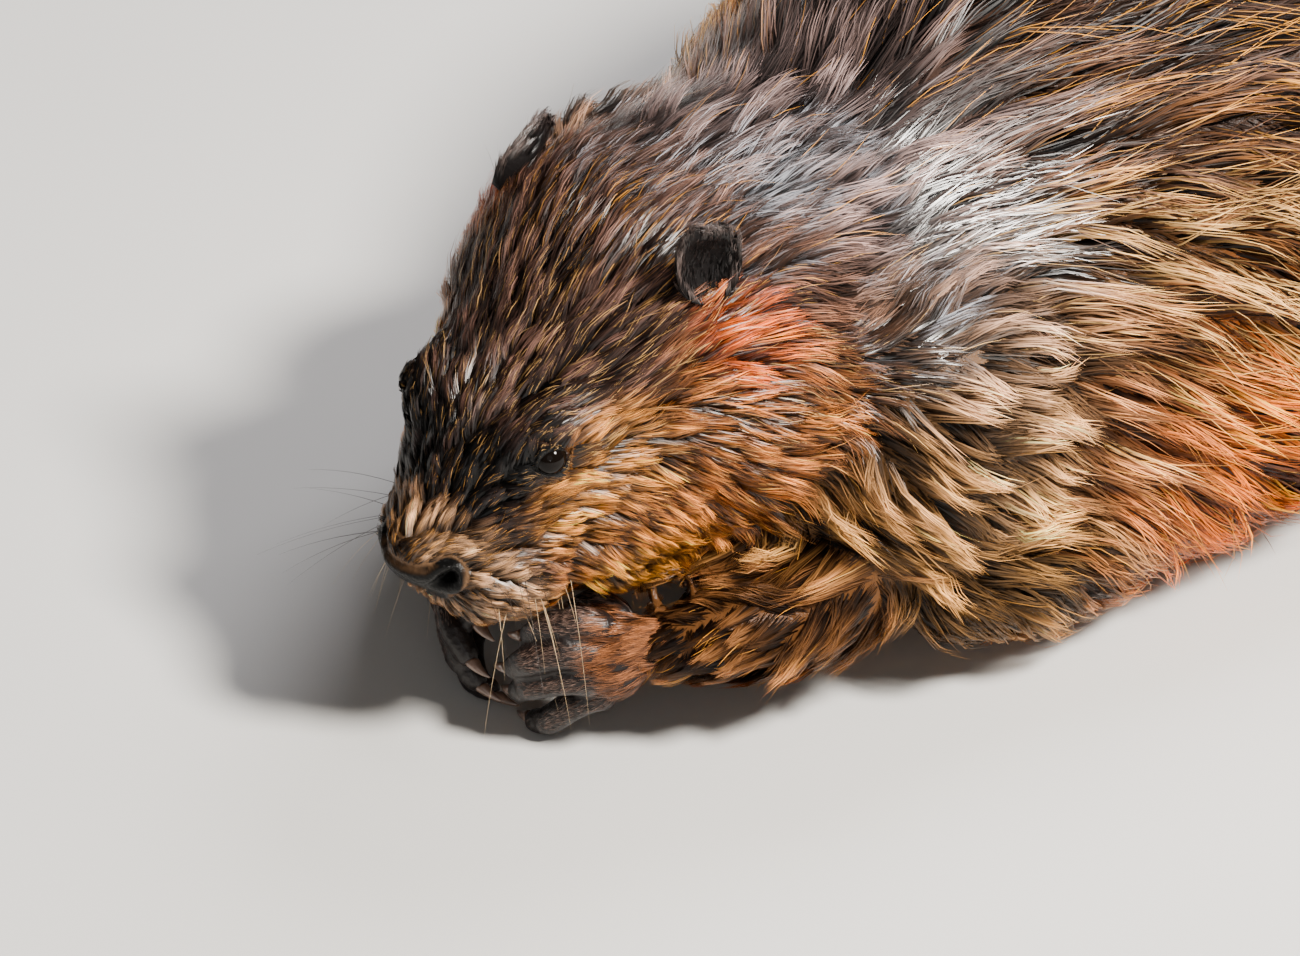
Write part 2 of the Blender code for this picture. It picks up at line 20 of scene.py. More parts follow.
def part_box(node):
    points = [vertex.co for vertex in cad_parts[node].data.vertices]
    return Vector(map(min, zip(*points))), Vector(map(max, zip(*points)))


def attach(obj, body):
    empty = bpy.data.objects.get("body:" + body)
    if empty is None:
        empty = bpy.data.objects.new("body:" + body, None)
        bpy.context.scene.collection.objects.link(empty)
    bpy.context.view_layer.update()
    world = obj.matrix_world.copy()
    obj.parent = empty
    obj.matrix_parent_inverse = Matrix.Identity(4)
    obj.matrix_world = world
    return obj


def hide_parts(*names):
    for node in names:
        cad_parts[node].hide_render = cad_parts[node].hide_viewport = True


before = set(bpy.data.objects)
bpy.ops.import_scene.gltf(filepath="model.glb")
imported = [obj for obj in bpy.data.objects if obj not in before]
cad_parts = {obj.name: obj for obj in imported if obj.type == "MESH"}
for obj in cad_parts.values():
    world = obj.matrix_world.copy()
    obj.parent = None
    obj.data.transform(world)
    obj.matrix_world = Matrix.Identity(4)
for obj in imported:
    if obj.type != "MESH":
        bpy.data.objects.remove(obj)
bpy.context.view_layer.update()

CM = 0.01
SIDES = ((1, "left"), (-1, "right"))
RNG = np.random.default_rng(11)

# --- Forms shared with the solids -------------------------------------------------------------
EAR_HEIGHT = 18.3
HEAD_PITCH = math.radians(39)
EAR_LENGTH, EAR_HALF_WIDTH, EAR_CUP, EAR_HALF_THICKNESS = 3.1, 1.2, 0.65, 0.12
EAR_SUNK = 0.12                 # the share of the ear's length that is below the coat
EAR_BASE = (1.05, -0.3, 5.2)
EAR_LIE = {1: (-0.60, 0.80, 0.0), -1: (-0.98, -0.05, 0.03)}
EYE_PLACE = (8.65, -0.4, 3.45)
EYE_RADIUS = 0.62
EYE_SINK = 0.10
TAIL_START, TAIL_LENGTH, TAIL_HALF_WIDTH, TAIL_RIM = 47.5, 27.0, 6.3, 0.5
TAIL_BEND = math.radians(9)
TAIL_WAIST = 51.2               # where the scaly tail begins, inside the coat
SKIN_END = TAIL_WAIST + 5.0     # the skin of the body ends inside the tail
TAIL_EASE = 2.4                 # the length over which the scaly tail grows to its full width

# An oval across the body: its middle, its half-width and its reaches up and down; see loft.
Section = namedtuple("Section", "x y z wide above below sag square")
TRUNK = [Section(0, *row) for row in (
    (-3.0, 12.6, 5.4, 4.5, 5.4, 0.12, 0.0),
    (1.0, 12.0, 7.8, 6.0, 8.4, 0.14, 0.3),
    (6.0, 11.4, 9.6, 7.1, 10.2, 0.30, 0.6),
    (12.0, 11.2, 12.3, 8.8, 11.4, 0.32, 0.7),
    (19.0, 11.8, 14.2, 12.0, 12.1, 0.28, 0.7),
    (26.0, 12.4, 15.0, 14.2, 12.7, 0.20, 0.55),
    (33.0, 12.4, 14.6, 14.4, 12.5, 0.14, 0.5),
    (39.0, 11.0, 12.4, 12.2, 10.6, 0.10, 0.4),
    (43.5, 8.6, 9.0, 8.2, 7.6, 0.06, 0.2),
    (47.0, 5.8, 5.4, 4.9, 4.9, 0.02, 0.0),
    (50.5, 3.5, 4.0, 2.9, 3.0, 0.0, 0.0),
    (53.5, 2.0, 3.7, 1.7, 1.7, 0.0, 0.0),
)]
HEAD = [Section(0, *row) for row in (
    (14.35, -2.6, 1.7, 1.2, 1.9, 0.05, 0.3),
    (13.8, -2.7, 2.75, 1.9, 3.0, 0.08, 0.5),
    (12.6, -2.8, 3.15, 2.1, 3.8, 0.12, 0.6),
    (11.0, -2.9, 3.75, 3.0, 4.4, 0.18, 0.6),
    (9.2, -3.0, 4.5, 3.8, 5.0, 0.18, 0.5),
    (7.0, -3.2, 5.7, 4.2, 5.5, 0.18, 0.4),
    (4.0, -3.6, 7.4, 5.1, 5.9, 0.16, 0.3),
    (1.0, -4.2, 7.9, 5.5, 6.2, 0.12, 0.2),
    (-2.0, -5.4, 7.2, 4.3, 6.3, 0.10, 0.1),
    (-5.0, -7.8, 6.4, 3.9, 6.0, 0.10, 0.0),
)]
# Joints and the middles of digits and sole: x, y, z and radius, on the left side.
SHOULDER, ELBOW = (7.6, 7.0, 10.0, 4.0), (8.2, 2.0, 4.9, 2.6)
MID_FOREARM, WRIST = (6.7, -2.0, 4.5, 1.8), (4.85, -4.05, 4.15, 1.15)
HIP, KNEE = (8.6, 35.0, 12.5, 5.0), (13.0, 28.5, 7.0, 4.3)
ANKLE, INSTEP = (11.6, 38.0, 3.4, 2.4), (12.6, 34.0, 2.4, 1.9)
HAND_DIGITS = [
    [(3.5, -5.4, 4.85, 0.62), (3.1, -5.9, 5.1, 0.58), (2.2, -6.5, 4.8, 0.52), (1.5, -6.7, 4.2, 0.42)],
    [(3.5, -5.9, 4.0, 0.66), (3.0, -6.5, 4.1, 0.62), (2.0, -7.2, 3.6, 0.56), (1.3, -7.3, 3.0, 0.44)],
    [(3.5, -5.8, 2.9, 0.66), (2.9, -6.4, 2.9, 0.62), (1.9, -7.0, 2.4, 0.56), (1.2, -7.0, 1.8, 0.44)],
    [(3.4, -5.2, 1.9, 0.62), (2.9, -5.8, 1.6, 0.58), (2.0, -6.3, 0.6, 0.52), (1.3, -6.3, 0.2, 0.44)],
    [(3.3, -4.2, 4.6, 0.55), (2.5, -4.4, 5.0, 0.48), (1.9, -4.8, 4.7, 0.38)],
]
HAND_PALM = [(4.15, -4.6, 3.9, 1.15), (3.8, -5.0, 3.4, 1.35), (3.6, -5.2, 2.7, 1.2)]
HAND_SHIFT = {1: (0.6, 0.5, 0.2), -1: (0.6, 0.6, -0.6)}
TOE_TIPS = [(12.3, 26.6), (14.0, 24.3), (15.9, 23.5), (17.8, 24.3), (19.3, 26.7)]
TOE_ROOTS = [(12.1, 32.7), (12.8, 32.3), (13.6, 32.3), (14.4, 32.7), (15.2, 33.4)]
TOE_RADIUS = 0.78
SOLE = [(11.3, 39.3, 1.35, 1.5), (11.9, 35.5, 1.5, 1.75), (12.9, 32.5, 1.3, 1.9), (13.5, 30.5, 1.0, 1.2)]
WEB_HEIGHT, WEB_THICK, WEB_REACH, WEB_SCALLOP = 0.3, 0.42, 0.80, 1.1
HAND_CLAW, FOOT_CLAW = 0.75, 1.6
CUT_GAP = 0.05                  # between parts that are separate solids
INSET = 0.04                    # how far the skins of ears and tail stay inside their solids

# --- The coat ---------------------------------------------------------------------------------
TUFTS = 258000                  # on head and body; each has five triangles
PATCH = 0.003                   # a tuft's patch on the bake map
STATIONS = (0.0, 0.36, 0.70, 1.0)       # along a tuft, as shares of its length
STATION_WIDTHS = (0.75, 1.0, 0.62)      # of a tuft's width; its tip is a point
STATION_LIGHT_AND_SHADE = (0.04, 0.36, 1.10, 1.60)       # painted shade, dark at the root deep in the coat, and painted light towards the tip, over the hair's own darker roots
SKIN_VOXEL, FINE_VOXEL = 0.36, 0.11
SKIN_FLOOR, TUFT_FLOOR, WHISKER_FLOOR = 0.03, 0.02, 0.06        # lowest heights above the ground


# --- Coordinates ------------------------------------------------------------------------------
SIN, COS = math.sin(HEAD_PITCH), math.cos(HEAD_PITCH)
HEAD_TURN = Matrix.Rotation(HEAD_PITCH, 4, "X")
HEAD_AXES = np.array([[0, -COS, -SIN], [0, -SIN, COS], [1, 0, 0]])     # forward, up, left


def head_point(forward, up, left):
    """Head coordinates (from the middle between the ears, along the tilted head) to body ones."""
    return Vector((left, -forward * COS - up * SIN, EAR_HEIGHT - forward * SIN + up * COS))


def head_direction(forward, up, left):
    return Vector((left, -forward * COS - up * SIN, -forward * SIN + up * COS)).normalized()


def to_head(points):
    """(N, 3) body coordinates to (forward, up, left) columns."""
    return ((points - np.array([0, 0, EAR_HEIGHT])) @ HEAD_AXES.T).T


def eye_centre(side):
    forward, up, left = EYE_PLACE
    return head_point(forward, up, left * side)


def body_shift():
    """How far along Y the solids stand from the coordinates used here, in metres."""
    low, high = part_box("eye_left")
    return (low.y + high.y) / 2 - eye_centre(1).y * CM


SHIFT = Vector((0, body_shift(), 0))


# --- Building blocks --------------------------------------------------------------------------
def above(value, low, high):
    """0 up to low and 1 from high on, with a smooth step between."""
    t = np.clip((value - low) / (high - low), 0, 1)
    return t * t * (3 - 2 * t)


def below(value, low, high):
    return 1 - above(value, low, high)


def mix(first, second, share):
    """The first where share is 0, the second where it is 1."""
    return first * (1 - share) + second * share


def catmull(values, t):
    last = len(values) - 1
    i = min(int(t), last - 1)
    f = t - i
    a, b, c, d = (values[min(max(i + k, 0), last)] for k in (-1, 0, 1, 2))
    return 0.5 * (
        2 * b + (c - a) * f + (2 * a - 5 * b + 4 * c - d) * f * f + (3 * b - 3 * c + d - a) * f ** 3
    )


def smooth_sections(sections, steps):
    count = (len(sections) - 1) * steps
    columns = list(zip(*sections))
    return [Section(*(catmull(c, i / steps) for c in columns)) for i in range(count + 1)]


def circle(sides):
    """(cosine, sine) at even steps round a circle"""
    angles = [2 * math.pi * k / sides for k in range(sides)]
    return [(math.cos(angle), math.sin(angle)) for angle in angles]


def stitch(bm, rings):
    """A closed skin through rings of points."""
    rings = [[bm.verts.new(point) for point in ring] for ring in rings]
    sides = len(rings[0])
    for low, high in zip(rings, rings[1:]):
        for k in range(sides):
            n = (k + 1) % sides
            bm.faces.new((low[k], low[n], high[n], high[k]))
    bm.faces.new(rings[0])
    bm.faces.new(reversed(rings[-1]))


def loft(bm, sections, sides=48, steps=6, to_point=lambda x, y, z: Vector((x, y, z))):
    """A closed skin through oval sections; sag widens one below its middle, square boxes it there."""
    fine = smooth_sections(sections, steps)
    middles = [to_point(s.x, s.y, s.z) for s in fine]
    rings = []
    for i, s in enumerate(fine):
        along = (middles[min(i + 1, len(fine) - 1)] - middles[max(i - 1, 0)]).normalized()
        side = Vector((1, 0, 0))
        side = (side - along * side.dot(along)).normalized()
        up = side.cross(along)
        if up.z < 0:
            up = -up
        ring = []
        for cos, sin in circle(sides):
            if sin < 0:
                power = 1 - 0.45 * s.square
                cos = math.copysign(abs(cos) ** power, cos)
                sin = -abs(sin) ** power
            out = side * (s.wide * cos * (1 - s.sag * sin))
            rise = up * (sin * (s.above if sin > 0 else s.below))
            ring.append(middles[i] + out + rise)
        rings.append(ring)
    stitch(bm, rings)


def ellipsoid(bm, centre, radii, turn=None, segments=32, rings=20):
    place = Matrix.Translation(centre) @ (turn or Matrix()) @ Matrix.Diagonal((*radii, 1))
    bmesh.ops.create_uvsphere(bm, u_segments=segments, v_segments=rings, radius=1, matrix=place)


def head_mass(bm, forward, up, left, across, along, deep):
    ellipsoid(bm, head_point(forward, up, left), (across, along, deep), HEAD_TURN)


def limb(bm, points, sides=24):
    loft(bm, [Section(x, y, z, r, r, r, 0, 0) for x, y, z, r in points], sides=sides)


def mesh_from(bm, name):
    bmesh.ops.recalc_face_normals(bm, faces=bm.faces)
    mesh = bpy.data.meshes.new(name)
    bm.to_mesh(mesh)
    bm.free()
    return mesh


def add_object(name, data):
    obj = bpy.data.objects.new(name, data)
    bpy.context.scene.collection.objects.link(obj)
    return obj


def melted(bm, voxel, smoothing):
    """The shapes in bm melted into one skin on a grid of that size, then smoothed."""
    obj = add_object("melt", mesh_from(bm, "melt"))
    melt = obj.modifiers.new("melt", "REMESH")
    melt.mode = "VOXEL"
    melt.voxel_size = voxel
    soften = obj.modifiers.new("soften", "SMOOTH")
    soften.factor = 0.5
    soften.iterations = smoothing
    graph = bpy.context.evaluated_depsgraph_get()
    mesh = bpy.data.meshes.new_from_object(obj.evaluated_get(graph), depsgraph=graph)
    bpy.data.objects.remove(obj)
    return mesh


def read(items, field):
    """A field of three numbers of each of a mesh's items."""
    flat = np.empty(len(items) * 3, np.float32)
    items.foreach_get(field, flat)
    return flat.reshape(-1, 3).astype(float)


def corners(mesh):
    return read(mesh.vertices, "co")


def corner_normals(mesh):
    return read(mesh.vertex_normals, "vector")


def set_corners(mesh, points):
    """Moves the corners, none lower than a skin's lowest height."""
    points[:, 2] = np.maximum(points[:, 2], SKIN_FLOOR)
    mesh.vertices.foreach_set("co", points.astype(np.float32).ravel())
    mesh.update()


def shade_smooth(mesh):
    mesh.polygons.foreach_set("use_smooth", np.ones(len(mesh.polygons), bool))


def unit(vectors):
    return vectors / np.maximum(np.linalg.norm(vectors, axis=1, keepdims=True), 1e-9)


def wavy(points, size, seed):
    """A smooth random field of about -1 to 1 that changes over roughly that size."""
    rng = np.random.default_rng(seed)
    total = np.zeros(len(points))
    for _ in range(5):
        direction = rng.normal(size=3)
        direction *= 2 * math.pi / (size * np.linalg.norm(direction) * rng.uniform(0.7, 1.5))
        total += np.sin(points @ direction + rng.uniform(0, 2 * math.pi))
    return total / 2.6


def mirrored(point, side):
    """A point, or a point and its radius, of the left side, put on that side."""
    return (point[0] * side, *point[1:])


# --- Where things are on the body -------------------------------------------------------------
# Places on the head's left side: forward, up, left.
BRIDGE = (10.8, -0.1, 1.9)
BEFORE_EYE = (9.6, 0.0, 3.0)
BELOW_EYE = (7.3, -1.9, 4.6)
FRONT_OF_CHEEK = (10.0, -2.2, 4.0)
BELOW_EAR = (2.1, -1.9, 5.8)

HEAD_STATIONS = (-2.0, 3.0, 6.4, 10.0, 12.0, 14.5)
HEAD_REACH_DOWN = (8.5, 6.6, 5.9, 4.7, 3.6, 2.4)      # below the head's middle, at each station
HEAD_REACH_OUT = (8.7, 8.5, 7.4, 5.8, 4.8, 3.4)
HEAD_MIDDLE = -4.0


def in_head(points):
    """1 on the head, falling to 0 behind the ears, under the throat and on the arms."""
    forward, up, left = to_head(points)
    out = left / np.interp(forward, HEAD_STATIONS, HEAD_REACH_OUT)
    down = np.maximum(0, HEAD_MIDDLE - up) / np.interp(forward, HEAD_STATIONS, HEAD_REACH_DOWN)
    return above(forward, -3.5, 0.5) * below(out ** 2 + down ** 2, 1.0, 1.25)


def from_segment(points, a, b):
    """(each point's distance from the line a to b, its place along it from 0 to 1)"""
    t = np.clip((points - a) @ (b - a) / ((b - a) @ (b - a)), 0, 1)
    return np.linalg.norm(points - a - t[:, None] * (b - a), axis=1), t


def near_segment(points, start, end, inner, outer):
    """1 within inner of the line from start to end, falling to 0 at outer, on both sides."""
    on_left = np.column_stack([np.abs(points[:, 0]), points[:, 1:]])
    distance, _ = from_segment(on_left, np.array(start[:3]), np.array(end[:3]))
    return below(distance, inner, outer)


def spot(points, forward, up, left, radius):
    """1 at a place on the head (both sides), falling to 0 at radius."""
    f, u, l = to_head(points)
    distance = np.sqrt((f - forward) ** 2 + (u - up) ** 2 + (np.abs(l) - left) ** 2)
    return below(distance, 0.35 * radius, radius)


def on_nose_leather(points):
    """1 on the bare black skin round the nostrils, between them and down the middle of the lip."""
    f, u, l = to_head(points)
    side = np.abs(l)
    nostril = ((side - 1.45) / 0.80) ** 2 + ((u + 1.85) / 0.68) ** 2 + ((f - 13.9) / 1.0) ** 2
    between = (l / 1.6) ** 4 + ((u + 2.15) / 1.05) ** 2
    philtrum = (l / 0.22) ** 2 + ((u + 3.1) / 1.2) ** 4
    oval = np.minimum(np.minimum(nostril, between), philtrum)
    return below(oval, 0.8, 1.2) * above(f, 12.6, 13.2)


def on_bridge(points):
    """1 on the black bridge of the nose, in front of the eyes."""
    return spot(points, *BRIDGE, 2.9)


def nearest_of(points, places):
    """The distance from each point to the nearer of two places."""
    return np.minimum(*(np.linalg.norm(points - np.array(place), axis=1) for place in places))


def near_eye(points):
    return nearest_of(points, [eye_centre(side) for side in (1, -1)])


def eye_outward(side):
    return head_direction(0.30, 0.42, 0.86 * side)


def eye_seat(side):
    """The middle of the eyeball, sunk a little below the solids' one."""
    return eye_centre(side) - eye_outward(side) * EYE_SINK


def from_lids(points):
    """The distance from the middle of the nearer eye's opening."""
    openings = [eye_centre(side) + eye_outward(side) * 0.8 * EYE_RADIUS for side in (1, -1)]
    return nearest_of(points, openings)


def slick(points):
    """1 on the neck and the top of the shoulders, where the wet coat lies smooth and a grey sheen is
    painted on.
    """
    x, y, z = points.T
    over = below(np.hypot(0.62 * x, y - 7.2), 4.8, 8.8)
    return over * above(z, 11.5, 15) * (1 - in_head(points))


def forearm_part(points):
    """1 round the forearms."""
    return near_segment(points, ELBOW, WRIST, 2.2, 3.4) * (1 - in_head(points))


def wrist_part(points):
    """1 round the lower half of the forearms."""
    return near_segment(points, MID_FOREARM, WRIST, 1.2, 3.4) * (1 - in_head(points))


def shank(points):
    """1 round the ankle and instep of the hind legs."""
    return near_segment(points, ANKLE, INSTEP, 2.4, 4.0) * below(points[:, 2], 4.5, 7.5)


def tail_end(points):
    """1 where the scales have taken over from the coat."""
    return above(points[:, 1], 53.4, 54.4)


def coat_depth(points):
    """How thick the coat lies over the skin."""
    head, f = in_head(points), to_head(points)[0]
    body = 0.95 - 0.35 * above(points[:, 1], 46, 51) - 0.3 * above(-points[:, 2], -1.5, 0)
    face = 0.62 - 0.42 * above(f, 3, 13)
    depth = mix(body, face, head)
    depth = depth * (1 - 0.35 * forearm_part(points) - 0.3 * wrist_part(points) - 0.4 * shank(points))
    depth = depth * (0.35 * above(from_lids(points), 0.55, 1.4)
                     + 0.65 * above(from_lids(points), 1.2, 3.4)) + 0.03
    return depth * (1 - 0.95 * on_nose_leather(points))


def hair_length(points):
    head, f = in_head(points), to_head(points)[0]
    rear = above(points[:, 1], 4, 20)
    body = 2.3 + 2.0 * rear - 1.7 * above(points[:, 1], 44, 51)
    body = body - 1.1 * above(-points[:, 2], -3.5, -0.5)
    face = 1.7 - 1.05 * above(f, 2, 12)
    length = mix(body, face, head)
    length = length * (1 - 0.25 * forearm_part(points) - 0.35 * wrist_part(points))
    length = length * (1 - 0.50 * spot(points, *EAR_BASE, 2.2))
    length = length * (1 - 0.50 * shank(points))
    return length * (0.22 + 0.78 * above(from_lids(points), 0.5, 1.8))


def hair_width(points):
    head, f = in_head(points), to_head(points)[0]
    rear = above(points[:, 1], 8, 24)
    body = 0.052 + 0.012 * rear
    face = 0.040 - 0.014 * above(f, 3, 13)
    return mix(body, face, head) * (1 - 0.25 * forearm_part(points))


# --- Markings, with painted sheen, shade and highlight ----------------------------------------
DARK_BROWN = (0.060, 0.030, 0.022)
BLACK_BROWN = (0.004, 0.003, 0.003)
WET_BROWN = (0.105, 0.052, 0.032)
CHEEK_GOLD = (0.43, 0.130, 0.021)
BRIGHT_TAN = (0.82, 0.30, 0.045)
EAR_ORANGE = (0.50, 0.068, 0.002)
OLIVE_TAN = (0.60, 0.24, 0.022)
MUZZLE_GREY = (0.44, 0.24, 0.120)
CHEST_TAN = (0.56, 0.26, 0.060)
SHOULDER_TAN = (0.74, 0.40, 0.200)
# Painted sheen: the grey of the sky's reflection on the wet neck, laid into the colour.
PAINTED_SHEEN_GREY = (0.165, 0.120, 0.116)
FLANK_BROWN = (0.36, 0.130, 0.028)
FLANK_ORANGE = (0.84, 0.160, 0.001)
FOREARM_BROWN = (0.24, 0.085, 0.030)
STRAW = (0.95, 0.40, 0.055)
# Straw painted paler as a highlight on the flank's guard hairs.
HIGHLIGHT_STRAW = (0.98, 0.66, 0.28)
# Painted shade: darker grey-brown at the very bottom of the body, where it meets the floor.
FLOOR_SHADE_BROWN = (0.085, 0.062, 0.050)
LEATHER_BLACK = (0.002, 0.002, 0.002)
HAND_BLACK, FINGER_GREY = (0.008, 0.005, 0.0045), (0.125, 0.077, 0.060)
FOOT_BLACK, TOE_BROWN, HEEL_BROWN = (0.017, 0.013, 0.012), (0.060, 0.034, 0.022), (0.17, 0.070, 0.026)
# Ear hair: black in the cup, partly its own dark hair and partly painted shade; grey on the rim, partly
# its own grey and partly painted light.
EAR_CUP_SHADE_BLACK, EAR_RIM_LIT_GREY = (0.007, 0.005, 0.005), (0.085, 0.062, 0.055)


def everywhere(values, points):
    """The same colour or direction at every point."""
    return np.tile(np.array(values), (len(points), 1))


def blend_to(colour, other, weight):
    return colour + (np.array(other) - colour) * np.clip(weight, 0, 1)[:, None]


def layered(colour, *layers):
    """The colour with others laid over it in turn, each with its weights."""
    for other, weight in layers:
        colour = blend_to(colour, other, weight)
    return colour


def coat_colour(points):
    """The coat's colour at each place on the body: the animal's own colouring, with a grey sheen painted
    on the wet neck and shade painted along the bottom by the floor.
    """
    x, y, z = points.T
    f, u, l = to_head(points)
    side = np.abs(l)
    n = wavy(points, 2.2, 3)
    # The body: dark along the back, a painted grey sheen on the wet neck, tan on chest and shoulder,
    # orange flanks, painted shade at the bottom by the floor.
    low = below(z + 1.5 * n, 5.0, 15.5)
    shoulder = above(np.abs(x) + 0.8 * n, 3.5, 7.5) * above(y, 2, 7)
    shoulder = shoulder * below(z, 13.5, 17)
    side_of_body = below(z + 1.5 * n, 14.5, 19)
    flank = above(y + 1.2 * n, 8, 15)
    body = layered(
        everywhere(WET_BROWN, points),
        (SHOULDER_TAN, 0.8 * shoulder * below(y, 13, 20)),
        (CHEST_TAN, 0.8 * low * below(y, 8, 14)),
        # painted sheen on the wet neck
        (PAINTED_SHEEN_GREY, 0.7 * slick(points)),
        (FLANK_BROWN, 0.75 * side_of_body * flank),
        (FLANK_ORANGE, 0.90 * below(z + 1.5 * n, 7.0, 14.5) * flank),
        # painted shade along the bottom, by the floor
        (FLOOR_SHADE_BROWN, 0.5 * below(z, 0.2, 2.2)),
    )
    # The head: dark crown, golden cheek, tan below the eye, black bridge, grey muzzle, olive chin.
    cheek = above(-u - 0.30 * f + 0.6 * side + 0.5 * n, 1.2, 4.0) * above(side, 2.2, 4.2)
    cheek = cheek * (0.08 + 0.92 * above(f - 0.3 * u + 0.8 * n, 0.8, 4.0))
    face = layered(
        everywhere(DARK_BROWN, points),
        (CHEEK_GOLD, 0.9 * cheek),
        (EAR_ORANGE, 0.85 * spot(points, *BELOW_EAR, 2.3)),
        (BRIGHT_TAN, 0.85 * spot(points, *BELOW_EYE, 2.2)),
        (BRIGHT_TAN, 0.8 * spot(points, *FRONT_OF_CHEEK, 2.4)),
        (BLACK_BROWN, 0.95 * on_bridge(points)),
        (BLACK_BROWN, 0.9 * spot(points, *BEFORE_EYE, 1.5)),
        (MUZZLE_GREY, 0.8 * above(f, 11.6, 13.0)),
        (OLIVE_TAN, 0.8 * above(-u, 4.0, 5.6) * above(f, 6.5, 10.5)),
    )
    # Over both: the limbs, the lids' black rims and the nose.
    head = in_head(points)[:, None]
    return layered(
        mix(body, face, head),
        (FOREARM_BROWN, 0.75 * forearm_part(points)),
        (FOREARM_BROWN, 0.9 * np.maximum(shank(points), above(y, 47, 51))),
        (BLACK_BROWN, below(from_lids(points), 0.55, 0.85)),
        (LEATHER_BLACK, on_nose_leather(points)),
    )


# --- The lie of the coat ----------------------------------------------------------------------
NOSE_CENTRE = np.array(head_point(15.2, -1.4, 0))


def lie_of_coat(points, normals):
    """The direction, along the surface, in which the hair lies at each place."""
    head = in_head(points)[:, None]
    x, y, z = points.T
    round_side = above(np.arctan2(np.abs(x), np.maximum(z - 7.0, 0.5)), 0.45, 1.25)
    down = 0.10 + 0.62 * round_side + 0.45 * np.maximum(0, -normals[:, 1]) * (1 - round_side)
    down = down - 0.25 * above(y, 24, 40)
    back = np.column_stack([np.zeros_like(y), np.ones_like(y), -down])
    side = np.sign(x)
    reach = np.array(WRIST[:3]) - np.array(ELBOW[:3])
    along_arm = np.column_stack([side * reach[0], np.full_like(y, reach[1]), np.full_like(y, reach[2])])
    hanging = unit(along_arm) + np.array([0, 0, -0.35])
    body = mix(back, hanging, forearm_part(points)[:, None])
    body = mix(body, np.array([0, -0.35, -1.0]), shank(points)[:, None])
    radial = unit(points - NOSE_CENTRE)
    _, up, left = to_head(points)
    radial[:, 2] -= 0.12 + 0.55 * above(-up, 0.5, 4.0) * above(np.abs(left), 2.5, 5.0)
    direction = mix(body, radial, head)
    # Round the eyes the hair parts and runs past the lids.
    parting = below(from_lids(points), 0.5, 1.5)[:, None]
    for eye in (1, -1):
        away = points - np.array(eye_centre(eye))
        this_eye = np.linalg.norm(away, axis=1, keepdims=True) < 3.0
        direction = direction + 1.3 * unit(away) * parting * this_eye
    direction = tangent(direction, normals)
    swing = 0.13 * wavy(points, 6.0, 21) + 0.10 * wavy(points, 2.0, 22)
    swing = swing * (1 - 0.3 * head[:, 0])
    across = np.cross(normals, direction)
    return unit(direction * np.cos(swing)[:, None] + across * np.sin(swing)[:, None])


def tangent(direction, normals):
    inward = np.sum(direction * normals, axis=1, keepdims=True)
    return unit(direction - normals * inward)


# --- Skin -------------------------------------------------------------------------------------
INSIDE_TAIL = [Section(0, 58.0, 1.6, 3.4, 1.0, 1.0, 0.0, 0.0)]


def body_masses(bm):
    loft(bm, TRUNK + INSIDE_TAIL)
    loft(bm, HEAD, to_point=lambda x, y, z: head_point(y, z, x))
    head_mass(bm, 10.4, -6.0, 0, 2.6, 3.0, 1.9)
    head_mass(bm, 13.7, -1.7, 0, 1.6, 1.1, 1.25)
    for side in (1, -1):
        head_mass(bm, 6.4, -6.1, 3.4 * side, 2.8, 4.9, 3.3)
        head_mass(bm, 12.2, -4.2, 1.9 * side, 1.8, 1.9, 1.9)
        head_mass(bm, 7.9, -0.6, 2.7 * side, 1.3, 2.3, 1.1)
        for joints in ((SHOULDER, ELBOW, MID_FOREARM, WRIST), (HIP, KNEE), (KNEE, ANKLE)):
            limb(bm, [mirrored(joint, side) for joint in joints])
        ellipsoid(bm, Vector(mirrored(ANKLE[:3], side)), (2.3, 2.3, 2.3))
        ellipsoid(bm, Vector((10.0 * side, 31.5, 10.2)), (5.8, 9.0, 8.6))
        ellipsoid(bm, Vector((8.4 * side, 8.0, 8.8)), (4.4, 6.2, 7.2))
        ellipsoid(bm, Vector((9.8 * side, 12.0, 4.3)), (4.2, 8.5, 3.6))
        ellipsoid(bm, Vector((6.8 * side, 2.8, 11.2)), (2.6, 4.2, 4.4))


def refine(mesh, chosen):
    """Splits the edges whose ends are both chosen(points) and evens out the new corners."""
    bm = bmesh.new()
    bm.from_mesh(mesh)
    inside = chosen(corners(mesh))
    edges = [e for e in bm.edges if inside[e.verts[0].index] and inside[e.verts[1].index]]
    made = bmesh.ops.subdivide_edges(bm, edges=edges, cuts=1, use_grid_fill=True)["geom_inner"]
    fresh = [v for v in made if isinstance(v, bmesh.types.BMVert)]
    for _ in range(2):
        bmesh.ops.smooth_vert(bm, verts=fresh, factor=0.5, use_axis_x=True, use_axis_y=True,
                              use_axis_z=True)
    bm.to_mesh(mesh)
    bm.free()


def eye_axes(side):
    """The eye's centre and its directions ahead, up and out, as rows."""
    out = eye_outward(side)
    ahead = head_direction(1, 0.35, 0)
    ahead = (ahead - out * ahead.dot(out)).normalized()
    up = ahead.cross(out) * side
    if up.dot(head_direction(0, 1, 0)) < 0:
        up = -up
    return np.array(eye_seat(side)), np.array([ahead, up, out])


EYE_CORNER, UPPER_LID, LOWER_LID = 1.00, 0.52, 0.54     # of the eye's radius, from its middle


def lid_opening(x, y):
    """How far inside the almond between the lids (negative outside), in the plane of the eye."""
    almond = 1 - (x / (EYE_CORNER * EYE_RADIUS)) ** 2
    upper, lower = UPPER_LID * EYE_RADIUS * almond, -LOWER_LID * EYE_RADIUS * almond
    return np.where(almond > 0, np.minimum(upper - y, y - lower), EYE_RADIUS * np.minimum(almond, 0))


